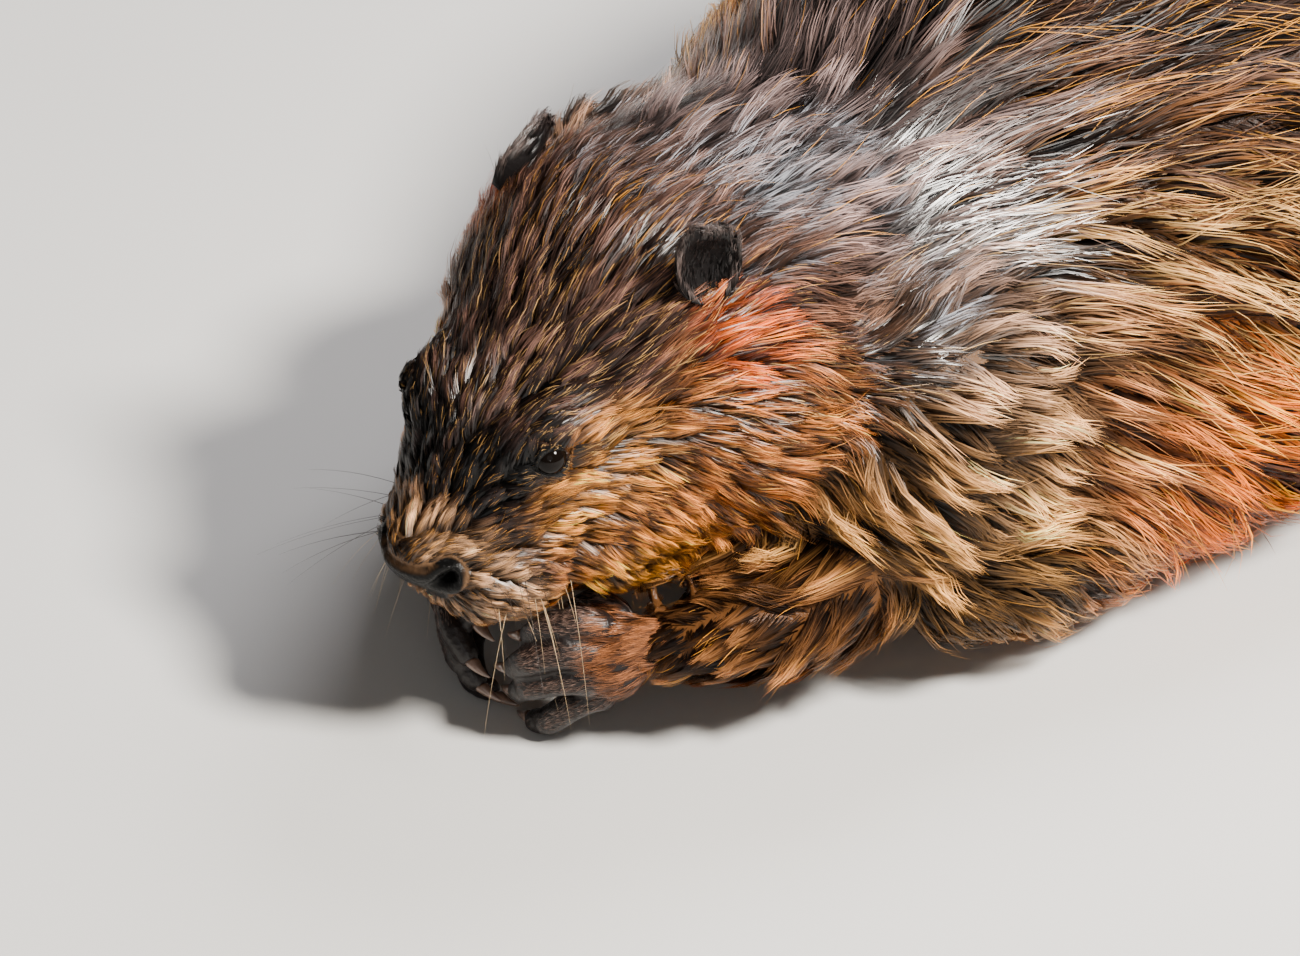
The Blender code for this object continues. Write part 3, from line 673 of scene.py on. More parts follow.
def shape_eyelids(points):
    """Wraps the skin over each eyeball and opens an almond between the lids."""
    for side in (1, -1):
        centre, axes = eye_axes(side)
        x, y, z = ((points - centre) @ axes.T).T
        lateral = np.hypot(x, y)
        near = (lateral < 2.1 * EYE_RADIUS) & (z > -1.2)
        x, y, z, lateral = x[near], y[near], np.maximum(z[near], 0.2 * EYE_RADIUS), lateral[near]
        inside = lid_opening(x, y)
        open_eye = above(inside, -0.01, 0.05)
        rim = np.exp(-((inside + 0.04) / 0.05) ** 2)
        fold = np.exp(-((inside + 0.22) / 0.06) ** 2) * (y > 0)
        radius = EYE_RADIUS * (1.07 + 0.03 * rim - 0.05 * fold)
        radius = mix(radius, EYE_RADIUS * 0.80, open_eye)
        target = centre + (unit(np.column_stack([x, y, z])) * radius[:, None]) @ axes
        weight = below(lateral, 1.1 * EYE_RADIUS, 2.05 * EYE_RADIUS)
        points[near] += (target - points[near]) * weight[:, None]


def dent(points, normals, weight, depth):
    points -= normals * (weight * depth)[:, None]


def shape_muzzle(points, normals):
    """Nostrils, the groove under the nose and the line of the mouth."""
    f, u, l = to_head(points)
    side = np.abs(l)
    slant = (u + 1.75) * 0.85 + (f - 13.95) * 0.5
    along = (f - 13.95) * 0.85 - (u + 1.75) * 0.5
    nostril = np.exp(-(slant / 0.17) ** 2 - (along / 0.42) ** 2 - ((side - 1.45) / 0.7) ** 2)
    rim = np.exp(-(slant / 0.40) ** 2 - (along / 0.70) ** 2 - ((side - 1.45) / 0.8) ** 2)
    dent(points, normals, rim, -0.04)
    dent(points, normals, nostril, 0.75)
    groove = np.exp(-(l / 0.14) ** 2) * above(f, 12.8, 13.4) * below(u, -3.2, -2.4)
    dent(points, normals, groove, 0.22)
    lip = -5.5 - 0.10 * (13.5 - f)
    mouth = np.exp(-((u - lip) / 0.18) ** 2) * above(f, 8.0, 9.5)
    dent(points, normals, mouth, 0.28)


def build_skin():
    bm = bmesh.new()
    body_masses(bm)
    mesh = melted(bm, SKIN_VOXEL, 8)
    bm = bmesh.new()
    bm.from_mesh(mesh)
    everything = bm.verts[:] + bm.edges[:] + bm.faces[:]
    bmesh.ops.bisect_plane(bm, geom=everything, plane_co=(0, SKIN_END, 0), plane_no=(0, 1, 0),
                           clear_outer=True)
    bmesh.ops.holes_fill(bm, edges=[e for e in bm.edges if e.is_boundary], sides=0)
    bm.to_mesh(mesh)
    bm.free()
    refine(mesh, lambda p: (to_head(p)[0] > 5.0) & (in_head(p) > 0.2))
    refine(mesh, lambda p: (near_eye(p) < 1.9) | ((to_head(p)[0] > 12.4) & (in_head(p) > 0.5)))
    refine(mesh, lambda p: near_eye(p) < 1.05)
    points, normals = corners(mesh), corner_normals(mesh)
    points -= normals * coat_depth(points)[:, None]
    set_corners(mesh, points)
    normals = corner_normals(mesh)
    shape_muzzle(points, normals)
    shape_eyelids(points)
    set_corners(mesh, points)
    print("SKIN", len(mesh.polygons), "faces")
    return mesh


def place_digit(point, side):
    """A hand's digit point on one side; the lowest fingers are kept down on the ground."""
    shift = HAND_SHIFT[side]
    x, y, z, radius = point
    return (x * side + shift[0], y + shift[1], max(z + shift[2], radius - 0.06), radius)


def add_digits(bm, digits):
    tips = []
    for digit in digits:
        limb(bm, digit, sides=16)
        for x, y, z, radius in digit[:-1]:
            ellipsoid(bm, Vector((x, y, z)), (radius * 1.04,) * 3, segments=16, rings=10)
        x, y, z, radius = digit[-1]
        ellipsoid(bm, Vector((x, y, z)), (radius,) * 3, segments=16, rings=10)
        tips.append((Vector(digit[-2][:3]), Vector((x, y, z)), radius))
    return tips


def hand_skin(side):
    """(the hand's skin, its fingertips)"""
    bm = bmesh.new()
    wrist = [(MID_FOREARM[0] * side, *MID_FOREARM[1:3], 0.9), (WRIST[0] * side, *WRIST[1:3], 1.1)]
    palm = [place_digit(p, side) for p in HAND_PALM]
    limb(bm, wrist + palm[:1])
    limb(bm, palm)
    tips = add_digits(bm, [[place_digit(p, side) for p in digit] for digit in HAND_DIGITS])
    return melted(bm, FINE_VOXEL, 3), tips


def foot_skin(side):
    """(the foot's skin with its web, its toe tips)"""
    bm = bmesh.new()
    limb(bm, [mirrored(p, side) for p in SOLE])
    heel = (SOLE[0][0], SOLE[0][1] - 0.5, SOLE[0][2])
    ellipsoid(bm, Vector(mirrored(heel, side)), (1.5, 1.5, 1.33))
    shin = ((*ANKLE[:3], 1.8), (*INSTEP[:3], 1.7), (*SOLE[2][:3], 1.2))
    limb(bm, [mirrored(p, side) for p in shin])
    toes = []
    for (x0, y0), (x1, y1) in zip(TOE_ROOTS, TOE_TIPS):
        root = (x0, y0, 1.1, TOE_RADIUS)
        knuckle = ((x0 + x1) / 2, (y0 + y1) / 2, 1.35, TOE_RADIUS + 0.05)
        tip = (x1, y1, 0.62, TOE_RADIUS - 0.12)
        toes.append([mirrored(p, side) for p in (root, knuckle, tip)])
    tips = add_digits(bm, toes)
    pairs = list(zip(TOE_ROOTS, TOE_TIPS))
    reach = lambda root, tip: [r + (t - r) * WEB_REACH for r, t in zip(root, tip)]
    for inner, outer in zip(pairs, pairs[1:]):
        left, right = reach(*inner), reach(*outer)
        middle = ((left[0] + right[0]) / 2, (left[1] + right[1]) / 2 + WEB_SCALLOP)
        outline = [inner[0], left, middle, right, outer[0]]
        levels = (WEB_HEIGHT, WEB_HEIGHT + WEB_THICK)
        stitch(bm, [[(x * side, y, z) for x, y in outline] for z in levels])
    return melted(bm, FINE_VOXEL * 1.4, 3), tips


def ear_frame(side):
    base = head_point(*EAR_BASE[:2], EAR_BASE[2] * side)
    along = head_direction(*EAR_LIE[side])
    face = head_direction(0.30, 0.35, 0.85 * side)
    face = (face - along * face.dot(along)).normalized()
    return base, along, face, along.cross(face).normalized()


def ear_half_width(v):
    """Half the ear's width at the share v of its length."""
    return EAR_HALF_WIDTH * np.sqrt(np.maximum(0.02, 1 - (np.abs(v - 0.52) / 0.53) ** 2.4))


def ear_skin(side):
    """A rounded cup: two grids, front and back, closed along their rims."""
    base, along, face, across = ear_frame(side)
    rows, columns = 28, 24
    bm = bmesh.new()
    layers = []
    for offset in (-EAR_HALF_THICKNESS, EAR_HALF_THICKNESS):
        grid = []
        for i in range(rows):
            v = i / (rows - 1)
            half = ear_half_width(v) - INSET
            row = []
            for j in range(columns):
                u = -1 + 2 * j / (columns - 1)
                thin = 1 - 0.5 * u * u
                hollow = -EAR_CUP * (1 - u * u) * math.sin(math.pi * min(v + EAR_SUNK, 1))
                point = base + along * EAR_LENGTH * (v - EAR_SUNK) + across * half * u
                row.append(bm.verts.new(point + face * (hollow + offset * thin)))
            grid.append(row)
        layers.append(grid)
    back, front = layers
    for i in range(rows - 1):
        for j in range(columns - 1):
            bm.faces.new((back[i][j], back[i][j + 1], back[i + 1][j + 1], back[i + 1][j]))
            bm.faces.new((front[i][j], front[i + 1][j], front[i + 1][j + 1], front[i][j + 1]))
    rim = [(0, j) for j in range(columns)] + [(i, columns - 1) for i in range(1, rows)]
    rim += [(rows - 1, j) for j in range(columns - 2, -1, -1)] + [(i, 0) for i in range(rows - 2, 0, -1)]
    for (i, j), (k, m) in zip(rim, rim[1:] + rim[:1]):
        bm.faces.new((back[i][j], back[k][m], front[k][m], front[i][j]))
    return mesh_from(bm, "ear")


def tail_point(along, across, up):
    t = along / TAIL_LENGTH
    turn = TAIL_BEND * t
    x = TAIL_LENGTH * TAIL_BEND * t * t / 2
    return Vector((x + across * math.cos(turn), TAIL_START + along - across * math.sin(turn), up))


def paddle_half_width(t):
    waist = 0.34 + 0.66 * math.sin(min(t / 0.6, 1) * math.pi / 2)
    tip = math.sqrt(max(0.0, 1 - max(0.0, (t - 0.6) / 0.4) ** 2.3))
    return TAIL_HALF_WIDTH * waist * tip


def tail_skin():
    rings, sides, stations = [], 72, 90
    first = (TAIL_WAIST - TAIL_START) / TAIL_LENGTH
    for i in range(stations + 1):
        t = first + (0.997 - first) * math.sin(i / stations * math.pi / 2)
        ease = 0.80 + 0.20 * min(1, (t - first) * TAIL_LENGTH / TAIL_EASE)
        half, crown = (paddle_half_width(t) - INSET) * ease, (2.3 - 1.5 * t) * ease
        ring = []
        for cos, sin in circle(sides):
            rise = crown * sin ** 3 if sin > 0 else 0.42 * sin
            up = max(SKIN_FLOOR, TAIL_RIM * (1 + 0.4 * sin) + rise)
            ring.append(tail_point(t * TAIL_LENGTH, half * cos, up))
        rings.append(ring)
    bm = bmesh.new()
    stitch(bm, rings)
    return mesh_from(bm, "tail")


# --- Materials --------------------------------------------------------------------------------
def new_material(name, roughness, shine, gloss=0.0, gloss_roughness=0.1):
    """(the material, its node tree, its shader)"""
    made = bpy.data.materials.new(name)
    made.use_nodes = True
    shader = made.node_tree.nodes["Principled BSDF"]
    shader.inputs["Roughness"].default_value = roughness
    shader.inputs["Specular IOR Level"].default_value = shine
    shader.inputs["Coat Weight"].default_value = gloss
    shader.inputs["Coat Roughness"].default_value = gloss_roughness
    return made, made.node_tree, shader


def add_node(tree, kind, feeds=None, values=None, **settings):
    """A shader node with its settings, values on its inputs, and the outputs that feed others."""
    node = tree.nodes.new("ShaderNode" + kind)
    for name, value in settings.items():
        setattr(node, name, value)
    for name, value in (values or {}).items():
        node.inputs[name].default_value = value
    for name, output in (feeds or {}).items():
        tree.links.new(output, node.inputs[name])
    return node


def add_ramp(tree, factor, low, high):
    """A colour that runs between two ends, each a position and a colour."""
    node = add_node(tree, "ValToRGB", {"Fac": factor})
    for element, (position, colour) in zip(node.color_ramp.elements, (low, high)):
        element.position = position
        element.color = (*colour, 1)
    return node.outputs["Color"]


def add_bump(tree, shader, height, strength, distance):
    relief = add_node(tree, "Bump", {"Height": height}, {"Strength": strength, "Distance": distance})
    tree.links.new(relief.outputs["Normal"], shader.inputs["Normal"])


def coat_material(name, roughness, bump=0.0, bump_scale=900.0, gloss=0.0, shine=0.5):
    """Takes its colour, painted light and shade included, from the colours stored on the mesh, broken up
    by fine noise.
    """
    made, tree, shader = new_material(name, roughness, shine, gloss, gloss_roughness=0.25)
    markings_and_shade = add_node(tree, "Attribute", attribute_name="markings_and_shade").outputs["Color"]
    place = add_node(tree, "TexCoord").outputs["Object"]
    noise = add_node(tree, "TexNoise", {"Vector": place}, {"Scale": 160, "Detail": 3}).outputs["Fac"]
    strength = add_node(tree, "MapRange", {"Value": noise}, {"To Min": 0.72, "To Max": 1.25})
    feeds = {"Vector": markings_and_shade, "Scale": strength.outputs["Result"]}
    tint = add_node(tree, "VectorMath", feeds, operation="SCALE")
    tree.links.new(tint.outputs["Vector"], shader.inputs["Base Color"])
    if bump:
        grain = add_node(tree, "TexNoise", {"Vector": place}, {"Scale": bump_scale, "Detail": 4})
        add_bump(tree, shader, grain.outputs["Fac"], bump, 0.0006)
    return made


def plain_material(name, colour, roughness, noise_scale=200.0, spread=0.25, gloss=0.0, shine=0.5):
    """One colour, made darker and lighter by noise."""
    made, tree, shader = new_material(name, roughness, shine, gloss)
    place = add_node(tree, "TexCoord").outputs["Object"]
    noise = add_node(tree, "TexNoise", {"Vector": place}, {"Scale": noise_scale}).outputs["Fac"]
    dark, light = ([c * share for c in colour] for share in (1 - spread, 1 + spread))
    tree.links.new(add_ramp(tree, noise, (0.3, dark), (0.7, light)), shader.inputs["Base Color"])
    return made


def scale_material():
    """Blackish leathery scales, longer along the tail than across it, with paler seams."""
    made, tree, shader = new_material("tail scales", 0.48, shine=0.30)
    place = add_node(tree, "TexCoord").outputs["Object"]
    stretch = add_node(tree, "Mapping", {"Vector": place}, {"Scale": (175, 240, 120)})
    cells = add_node(tree, "TexVoronoi", {"Vector": stretch.outputs["Vector"]},
                     {"Scale": 1.0, "Randomness": 0.55}, feature="DISTANCE_TO_EDGE").outputs["Distance"]
    seam, scale = (0.02, (0.040, 0.031, 0.026)), (0.30, (0.012, 0.010, 0.009))
    tree.links.new(add_ramp(tree, cells, seam, scale), shader.inputs["Base Color"])
    height = add_node(tree, "MapRange", {"Value": cells}, {"From Max": 0.3})
    add_bump(tree, shader, height.outputs["Result"], 0.8, 0.0012)
    return made


# --- Putting pieces in the scene --------------------------------------------------------------
def add_piece(name, mesh, material, nodes=()):
    """Scales a mesh made in centimetres to metres, slides it onto the solids and adds it."""
    mesh.transform(Matrix.Translation(SHIFT) @ Matrix.Scale(CM, 4))
    mesh.materials.clear()
    mesh.materials.append(material)
    shade_smooth(mesh)
    obj = add_object(name, mesh)
    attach(obj, "root")
    if nodes:
        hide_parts(*nodes)
    return obj


def paint(mesh, colours):
    """Stores a colour at each corner of the mesh, painted light and shade included, as its colouring."""
    layer = mesh.attributes.new("markings_and_shade", "FLOAT_COLOR", "POINT")
    rgba = np.column_stack([colours, np.ones(len(colours))]).astype(np.float32)
    layer.data.foreach_set("color", rgba.ravel())


# --- Growing the coat -------------------------------------------------------------------------
Surface = namedtuple("Surface", "mesh tree")


def surface_of(mesh):
    """A mesh with a search tree, kept in centimetres."""
    bm = bmesh.new()
    bm.from_mesh(mesh)
    bmesh.ops.triangulate(bm, faces=bm.faces)
    tree = BVHTree.FromBMesh(bm)
    copy = bpy.data.meshes.new("surface")
    bm.to_mesh(copy)
    bm.free()
    return Surface(copy, tree)


def scatter(surface, density):
    """Random places on the surface, density(points, normals) of them on each square centimetre."""
    mesh = surface.mesh
    points = corners(mesh)
    loops = np.empty(len(mesh.loops), np.int32)
    mesh.loops.foreach_get("vertex_index", loops)
    faces = loops.reshape(-1, 3)
    a, b, c = points[faces[:, 0]], points[faces[:, 1]], points[faces[:, 2]]
    areas = np.linalg.norm(np.cross(b - a, c - a), axis=1) / 2
    wanted = areas * density((a + b + c) / 3, unit(np.cross(b - a, c - a)))
    counts = RNG.poisson(wanted)
    chosen = np.repeat(np.arange(len(faces)), counts)
    r, s = RNG.random(len(chosen)), RNG.random(len(chosen))
    flip = r + s > 1
    r[flip], s[flip] = 1 - r[flip], 1 - s[flip]
    w = np.column_stack([1 - r - s, r, s])[:, :, None]
    return (points[faces[chosen]] * w).sum(1)


def nearest_index(places, queries):
    tree = KDTree(len(places))
    for i, place in enumerate(places):
        tree.insert(place, i)
    tree.balance()
    return np.fromiter((tree.find(q)[1] for q in queries), np.int64, len(queries))


def nearest_on(surface, points):
    """(the nearest places on the surface, the normals there)"""
    found = [surface.tree.find_nearest(Vector(p)) for p in points]
    return np.array([f[0] for f in found]), np.array([f[1] for f in found])


def follow_surface(surface, starts, lengths, lie, steps=3):
    """Paths of equal steps along the lie of the coat: arrays of feet and normals, one per step."""
    feet, normals = [starts], [nearest_on(surface, starts)[1]]
    for _ in range(steps):
        step = lie(feet[-1], normals[-1]) * (lengths / steps)[:, None]
        foot, normal = nearest_on(surface, feet[-1] + step)
        feet.append(foot)
        normals.append(normal)
    return feet, normals


def as_the_lids(roots, facing):
    """Turns the facing of the hair round each eye outwards, as its lids lie."""
    weight = 0.85 * below(from_lids(roots), 0.9, 1.7)[:, None]
    outward = np.where(roots[:, :1] > 0, np.array(eye_outward(1)), np.array(eye_outward(-1)))
    return unit(mix(facing, outward, weight))


# How hair grows, in centimetres; each but jitter is a function of the places on the body. Lock and
# strand are their widths, pull and bond how far tufts close up in them, guard the share of guard hairs.
Style = namedtuple("Style", "length width depth lock strand pull bond lift jitter guard")
# What is drawn once for each lock or strand, and each is then given to its tufts.
Locks = namedtuple("Locks", "length bend rank bond")
Strands = namedtuple("Strands", "length sway rank")


def given_to(tufts, drawn):
    return type(drawn)(*(values[tufts] for values in drawn))


def grow(surface, density, lie, style):
    """Tufts in wet locks: the middle line and half-width vectors of each tuft at its stations, and
    where it is rooted. Tufts draw together by pull into their strand, and strands by bond into their
    lock. Locks and strands of rank 0 lie on top and those of rank 1 lowest."""
    roots = scatter(surface, density)
    locks = scatter(surface, lambda p, n: 1 / style.lock(p) ** 2)
    strands = scatter(surface, lambda p, n: 1 / style.strand(p) ** 2)
    count, lock_count, strand_count = len(roots), len(locks), len(strands)
    by_lock = Locks(
        length=style.length(locks) * RNG.uniform(0.85, 1.2, lock_count),
        bend=RNG.normal(0, 0.09, lock_count),
        rank=RNG.random(lock_count),
        bond=RNG.uniform(0.75, 1.0, lock_count),
    )
    feet, normals = follow_surface(surface, locks, by_lock.length, lie)
    strand = nearest_index(strands, roots)
    lock = nearest_index(locks, strands)[strand]
    by_strand = Strands(
        length=RNG.uniform(0.80, 1.18, strand_count),
        sway=RNG.normal(0, 1, strand_count),
        rank=RNG.random(strand_count),
    )
    of_lock, of_strand = given_to(lock, by_lock), given_to(strand, by_strand)
    scale = of_strand.length * RNG.uniform(0.72, 1.15, count)
    wild = RNG.random(count) < style.guard(roots)
    scale = np.where(wild, scale * RNG.uniform(1.1, 1.45, count), scale)
    sway = of_lock.bend + of_strand.sway * 0.06 + RNG.normal(0, style.jitter, count)
    sway = sway * np.where(wild, 2.2, 1)
    depth = style.depth(roots) * (1.2 - 0.65 * of_lock.rank)
    tip_height = (1.05 - 0.5 * of_strand.rank) * RNG.uniform(0.75, 1.1, count) * np.where(wild, 1.35, 1)
    bond = style.bond(roots) * of_lock.bond * np.where(wild, 0.5, 1)
    pull = style.pull(roots) * np.where(wild, 0.35, 1)
    to_strand, to_lock = roots - strands[strand], strands[strand] - locks[lock]
    length = of_lock.length * scale
    frames = [normal[lock] for normal in normals]
    along = unit(feet[3][lock] - feet[0][lock] + 1e-6)
    across = unit(np.cross(along, frames[1]))
    line = []
    for foot, normal, t in zip(feet, frames, STATIONS):
        reach = (foot[lock] - feet[0][lock]) * scale[:, None]
        gather = (1 - pull * t ** 0.8)[:, None] * to_strand + (1 - bond * t ** 1.2)[:, None] * to_lock
        rise = depth * tip_height * (1 - (1 - t) ** 2.2) * style.lift(roots)
        base = feet[0][lock] + gather + reach
        line.append(base + normal * rise[:, None] + across * (sway * length * t * t)[:, None])
    roll = RNG.normal(0, 0.25, strand_count)[strand] + RNG.normal(0, 0.20, count)
    roll = (roll * (1 - 0.6 * slick(roots)))[:, None]
    # The facing is rounded across the strand and the lock, so that they shine as round bundles.
    in_strand = np.sum(to_strand * across, axis=1) / (0.5 * style.strand(roots))
    in_lock = np.sum(to_lock * across, axis=1) / (0.5 * style.lock(roots))
    rounding = 0.75 * np.clip(in_strand, -1, 1) + 0.65 * np.clip(in_lock, -1, 1)
    rounding = (rounding * (1 - 0.75 * slick(roots)) + RNG.normal(0, 0.12, count))[:, None]
    facing = [as_the_lids(roots, unit(n + across * rounding + along * 0.10)) for n in frames]
    width = style.width(roots) * RNG.uniform(0.7, 1.3, count) * np.where(wild, 0.6, 1)
    sides = []
    for normal, factor in zip(frames, STATION_WIDTHS):
        turned = unit(np.cross(along, normal)) * np.cos(roll) + normal * np.sin(roll)
        sides.append(turned * (width * factor / 2)[:, None])
    return {"roots": roots, "line": line, "sides": sides, "facing": facing, "wild": wild,
            "strand_rank": of_strand.rank, "lock_rank": of_lock.rank}


def tuft_mesh(name, tufts, chosen, colours, unwrap):
    """One mesh of the chosen tufts: two quads and a pointed end each, with their colours, painted shade
    at the root and painted light at the tip, and the bake map, where each tuft has a small patch at its
    root's place."""
    roots = tufts["roots"][chosen]
    line, sides, facing = ([part[chosen] for part in tufts[key]] for key in ("line", "sides", "facing"))
    count, pairs = len(roots), (2, 2, 2, 1)         # corners at each station
    columns = [end for middle, half in zip(line, sides) for end in (middle - half, middle + half)]
    vertices = np.stack(columns + [line[-1]], axis=1)
    vertices[:, :, 2] = np.maximum(vertices[:, :, 2], TUFT_FLOOR)
    loops = (np.array([0, 1, 3, 2, 2, 3, 5, 4, 4, 5, 6]) + 7 * np.arange(count)[:, None]).ravel()
    starts = (np.array([0, 4, 8]) + 11 * np.arange(count)[:, None]).ravel()
    mesh = bpy.data.meshes.new(name)
    mesh.vertices.add(count * 7)
    mesh.vertices.foreach_set("co", vertices.astype(np.float32).ravel())
    mesh.loops.add(len(loops))
    mesh.loops.foreach_set("vertex_index", loops.astype(np.int32))
    mesh.polygons.add(count * 3)
    mesh.polygons.foreach_set("loop_start", starts.astype(np.int32))
    mesh.update(calc_edges=True)
    shade_smooth(mesh)
    directions = np.repeat(np.stack(facing, axis=1), pairs, axis=1)
    mesh.normals_split_custom_set_from_vertices(directions.reshape(-1, 3))
    # Painted shade and light along each tuft: dark at the root deep in the coat, light at the tip.
    tints = colours[chosen][:, None, :] * np.repeat(STATION_LIGHT_AND_SHADE, pairs)[None, :, None]
    paint(mesh, tints.reshape(-1, 3))
    u, v = unwrap(roots)
    across, along = np.array([0, 1, 0, 1, 0, 1, 0.5]), np.repeat(STATIONS, pairs)
    uv = np.stack([u[:, None] + across * PATCH, v[:, None] + along * PATCH], axis=2)
    layer = mesh.uv_layers.new(name="OFBake")
    layer.data.foreach_set("uv", uv.reshape(-1, 2)[loops].astype(np.float32).ravel())
    return mesh


def spread(values):
    """Values stretched to fill most of 0 to 1, with room for a patch."""
    low, high = values.min(), values.max()
    return 0.004 + (values - low) / max(high - low, 1e-9) * (0.992 - PATCH)


def unwrap_round_body(points):
    """Round the body and along it."""
    angle = np.arctan2(points[:, 0], points[:, 2] - 10.0)
    return spread(angle), spread(points[:, 1])


def unwrap_round_head(points):
    f, u, l = to_head(points)
    return spread(np.arctan2(l, u + 3.5)), spread(f)


# --- Regions ----------------------------------------------------------------------------------
def even(value):
    return lambda points: np.full(len(points), float(value))


def hair_colours(roots, tufts):
    """The colour at each root. Locks and strands that lie low are painted dark as shade, those on top
    painted light, with random tone on each tuft; whole strands turn straw-coloured where the share of
    gold is high."""
    count = len(roots)
    head = in_head(roots)
    # Painted shade and light: the lower a lock or strand lies, the darker it is painted; on top it is
    # painted lighter.
    by_lock = 0.10 + 0.14 * head + (1.60 - 0.28 * head) * (1 - tufts["lock_rank"]) ** 2.2
    by_strand = 0.18 + 1.35 * (1 - tufts["strand_rank"]) ** 1.5
    painted_shade_and_tone = by_lock * by_strand * RNG.lognormal(0.0, 0.24 + 0.16 * head, count)
    colours = coat_colour(roots) * painted_shade_and_tone[:, None]
    luck = 0.35 * tufts["lock_rank"] + 0.35 * tufts["strand_rank"] + 0.3 * RNG.random(count)
    luck = mix(luck, RNG.random(count), head)
    golden = (luck < gold_share(roots)) | (tufts["wild"] & (RNG.random(count) < 0.6))
    # Painted highlight: along the middle of the flank the straw is paler.
    straw = blend_to(everywhere(STRAW, roots), HIGHLIGHT_STRAW, 0.6 * gold_and_highlight_band(roots))
    share = golden * RNG.uniform(0.35, 0.9, count) * (1 - 0.5 * head)
    return np.clip(colours + (straw - colours) * share[:, None], 0.002, 0.95)


def bare_of_hair(points):
    """0 where no hair is rooted: between the lids, on nose leather and tail, under the hands."""
    clear = below(on_nose_leather(points), 0.2, 0.5) * (1 - tail_end(points))
    clear = clear * (1 - near_segment(points, WRIST, HAND_PALM[0], 0.8, 1.2))
    for side in (1, -1):
        centre, axes = eye_axes(side)
        x, y, z = ((points - centre) @ axes.T).T
        lids = (np.hypot(x, y) < 1.5 * EYE_RADIUS) & (z > -0.5)
        clear = clear * np.where(lids, below(lid_opening(x, y), -0.16, -0.08), 1)
    return clear


def main_density(points, _):
    cover = 4.6 + 1.6 * in_head(points)
    cover = cover * (0.45 + 0.55 * above(points[:, 2], 0.2, 3.0))
    return bare_of_hair(points) * cover / (0.70 * hair_length(points) * hair_width(points))


def main_style():
    head = in_head
    return Style(
        length=hair_length,
        width=hair_width,
        depth=coat_depth,
        lock=lambda p: 1.05 + 0.35 * above(p[:, 1], 12, 22) - 0.5 * head(p),
        strand=lambda p: 0.34 - 0.16 * head(p),
        pull=lambda p: 0.90 - 0.40 * head(p),
        bond=lambda p: 0.92 - 0.50 * head(p) - 0.45 * slick(p),
        lift=lambda p: 1.0 + 0.15 * wavy(p, 3.0, 5),
        jitter=0.05,
        guard=lambda p: 0.015 + 0.085 * above(p[:, 1], 8, 20) * (1 - head(p)),
    )


def gold_and_highlight_band(points):
    """1 along the middle of the flank, where gold guard hairs are commoner and their straw is painted
    paler as a highlight.
    """
    return above(points[:, 2], 9, 13) * below(points[:, 2], 15, 18)


GOLD_ON_BACK, GOLD_ON_HEAD = 0.05, 0.04         # everywhere, and more on the head


def gold_share(points):
    """The share of straw and gold hairs: highest on the flank."""
    y = points[:, 1]
    flank = above(y + 2.0 * wavy(points, 4.0, 9), 7, 15) * (0.07 + 0.30 * gold_and_highlight_band(points))
    share = flank * (1 - in_head(points)) + GOLD_ON_BACK + GOLD_ON_HEAD * in_head(points)
    return share * (1 - 0.85 * on_bridge(points))


def coat_regions(roots):
    """Where each region of the main coat grows; a place belongs to the first region that has it."""
    on_head, (forward, _, _), y = in_head(roots) > 0.5, to_head(roots), roots[:, 1]
    return {
        "muzzle": on_head & (forward > 10.0),
        "face": on_head & (forward > 5.5),
        "head": on_head,
        "neck": slick(roots) > 0.3,
        "front": y < 14,
        "flank": y < 31,
        "rump": y < 60,
    }


def add_main_coat(surface):
    dull = coat_material("face coat", 0.34, shine=0.34)
    wet = coat_material("wet coat", 0.28, gloss=0.16, shine=0.60)
    combed = coat_material("flank coat", 0.38, shine=0.14)
    materials = {"neck": wet, "front": combed, "flank": combed, "rump": combed}
    share = TUFTS / len(scatter(surface, main_density))
    tufts = grow(surface, lambda p, n: main_density(p, n) * share, lie_of_coat, main_style())
    roots = tufts["roots"]
    colours = hair_colours(roots, tufts)
    waiting = np.ones(len(roots), bool)
    for region, inside in coat_regions(roots).items():
        here = waiting & inside
        waiting &= ~here
        unwrap = unwrap_round_head if region in ("muzzle", "face", "head") else unwrap_round_body
        for side, half in (("left", roots[:, 0] >= 0), ("right", roots[:, 0] < 0)):
            name = f"coat_{region}_{side}"
            mesh = tuft_mesh(name, tufts, here & half, colours, unwrap)
            add_piece(name, mesh, materials.get(region, dull))
            print("COAT", name, len(mesh.polygons) * 5 // 3, "triangles")


# --- Eyes, claws and whiskers -----------------------------------------------------------------
def add_eyes():
    glossy = plain_material("eye", (0.003, 0.002, 0.0015), 0.05, noise_scale=90, shine=0.12)
    for side, name in SIDES:
        bm = bmesh.new()
        ellipsoid(bm, eye_seat(side), (EYE_RADIUS,) * 3, segments=48, rings=32)
        add_piece("eyeball_" + name, mesh_from(bm, "eyeball"), glossy, ["eye_" + name])


def claw_shape(bm, base, direction, claw):
    direction, down = direction.normalized(), claw.down.normalized()
    across = direction.cross(down).normalized()
    sides, steps, bend = 14, 9, 0.3
    rings = []
    for i in range(steps):
        t = -0.12 + 1.08 * i / (steps - 1)
        middle = base + direction * claw.length * t + down * claw.length * bend * t * abs(t)
        r = claw.radius * (1 - max(t, 0)) ** 0.7 + 0.012
        ring = [across * cos * r * 0.8 + down * sin * r for cos, sin in circle(sides)]
        rings.append([middle + offset for offset in ring])
    lift = Vector((0, 0, max(0.0, CUT_GAP - min(p.z for ring in rings for p in ring))))
    stitch(bm, [[p + lift for p in ring] for ring in rings])


def add_claws(name, tips, claw, material, nodes):
    bm = bmesh.new()
    for before, tip, tip_radius in tips:
        direction = (tip - before).normalized()
        direction.z = max(direction.z, -0.35)
        claw_shape(bm, tip + direction * (tip_radius + 2 * CUT_GAP), direction, claw)
    add_piece(name, mesh_from(bm, name), material, nodes)


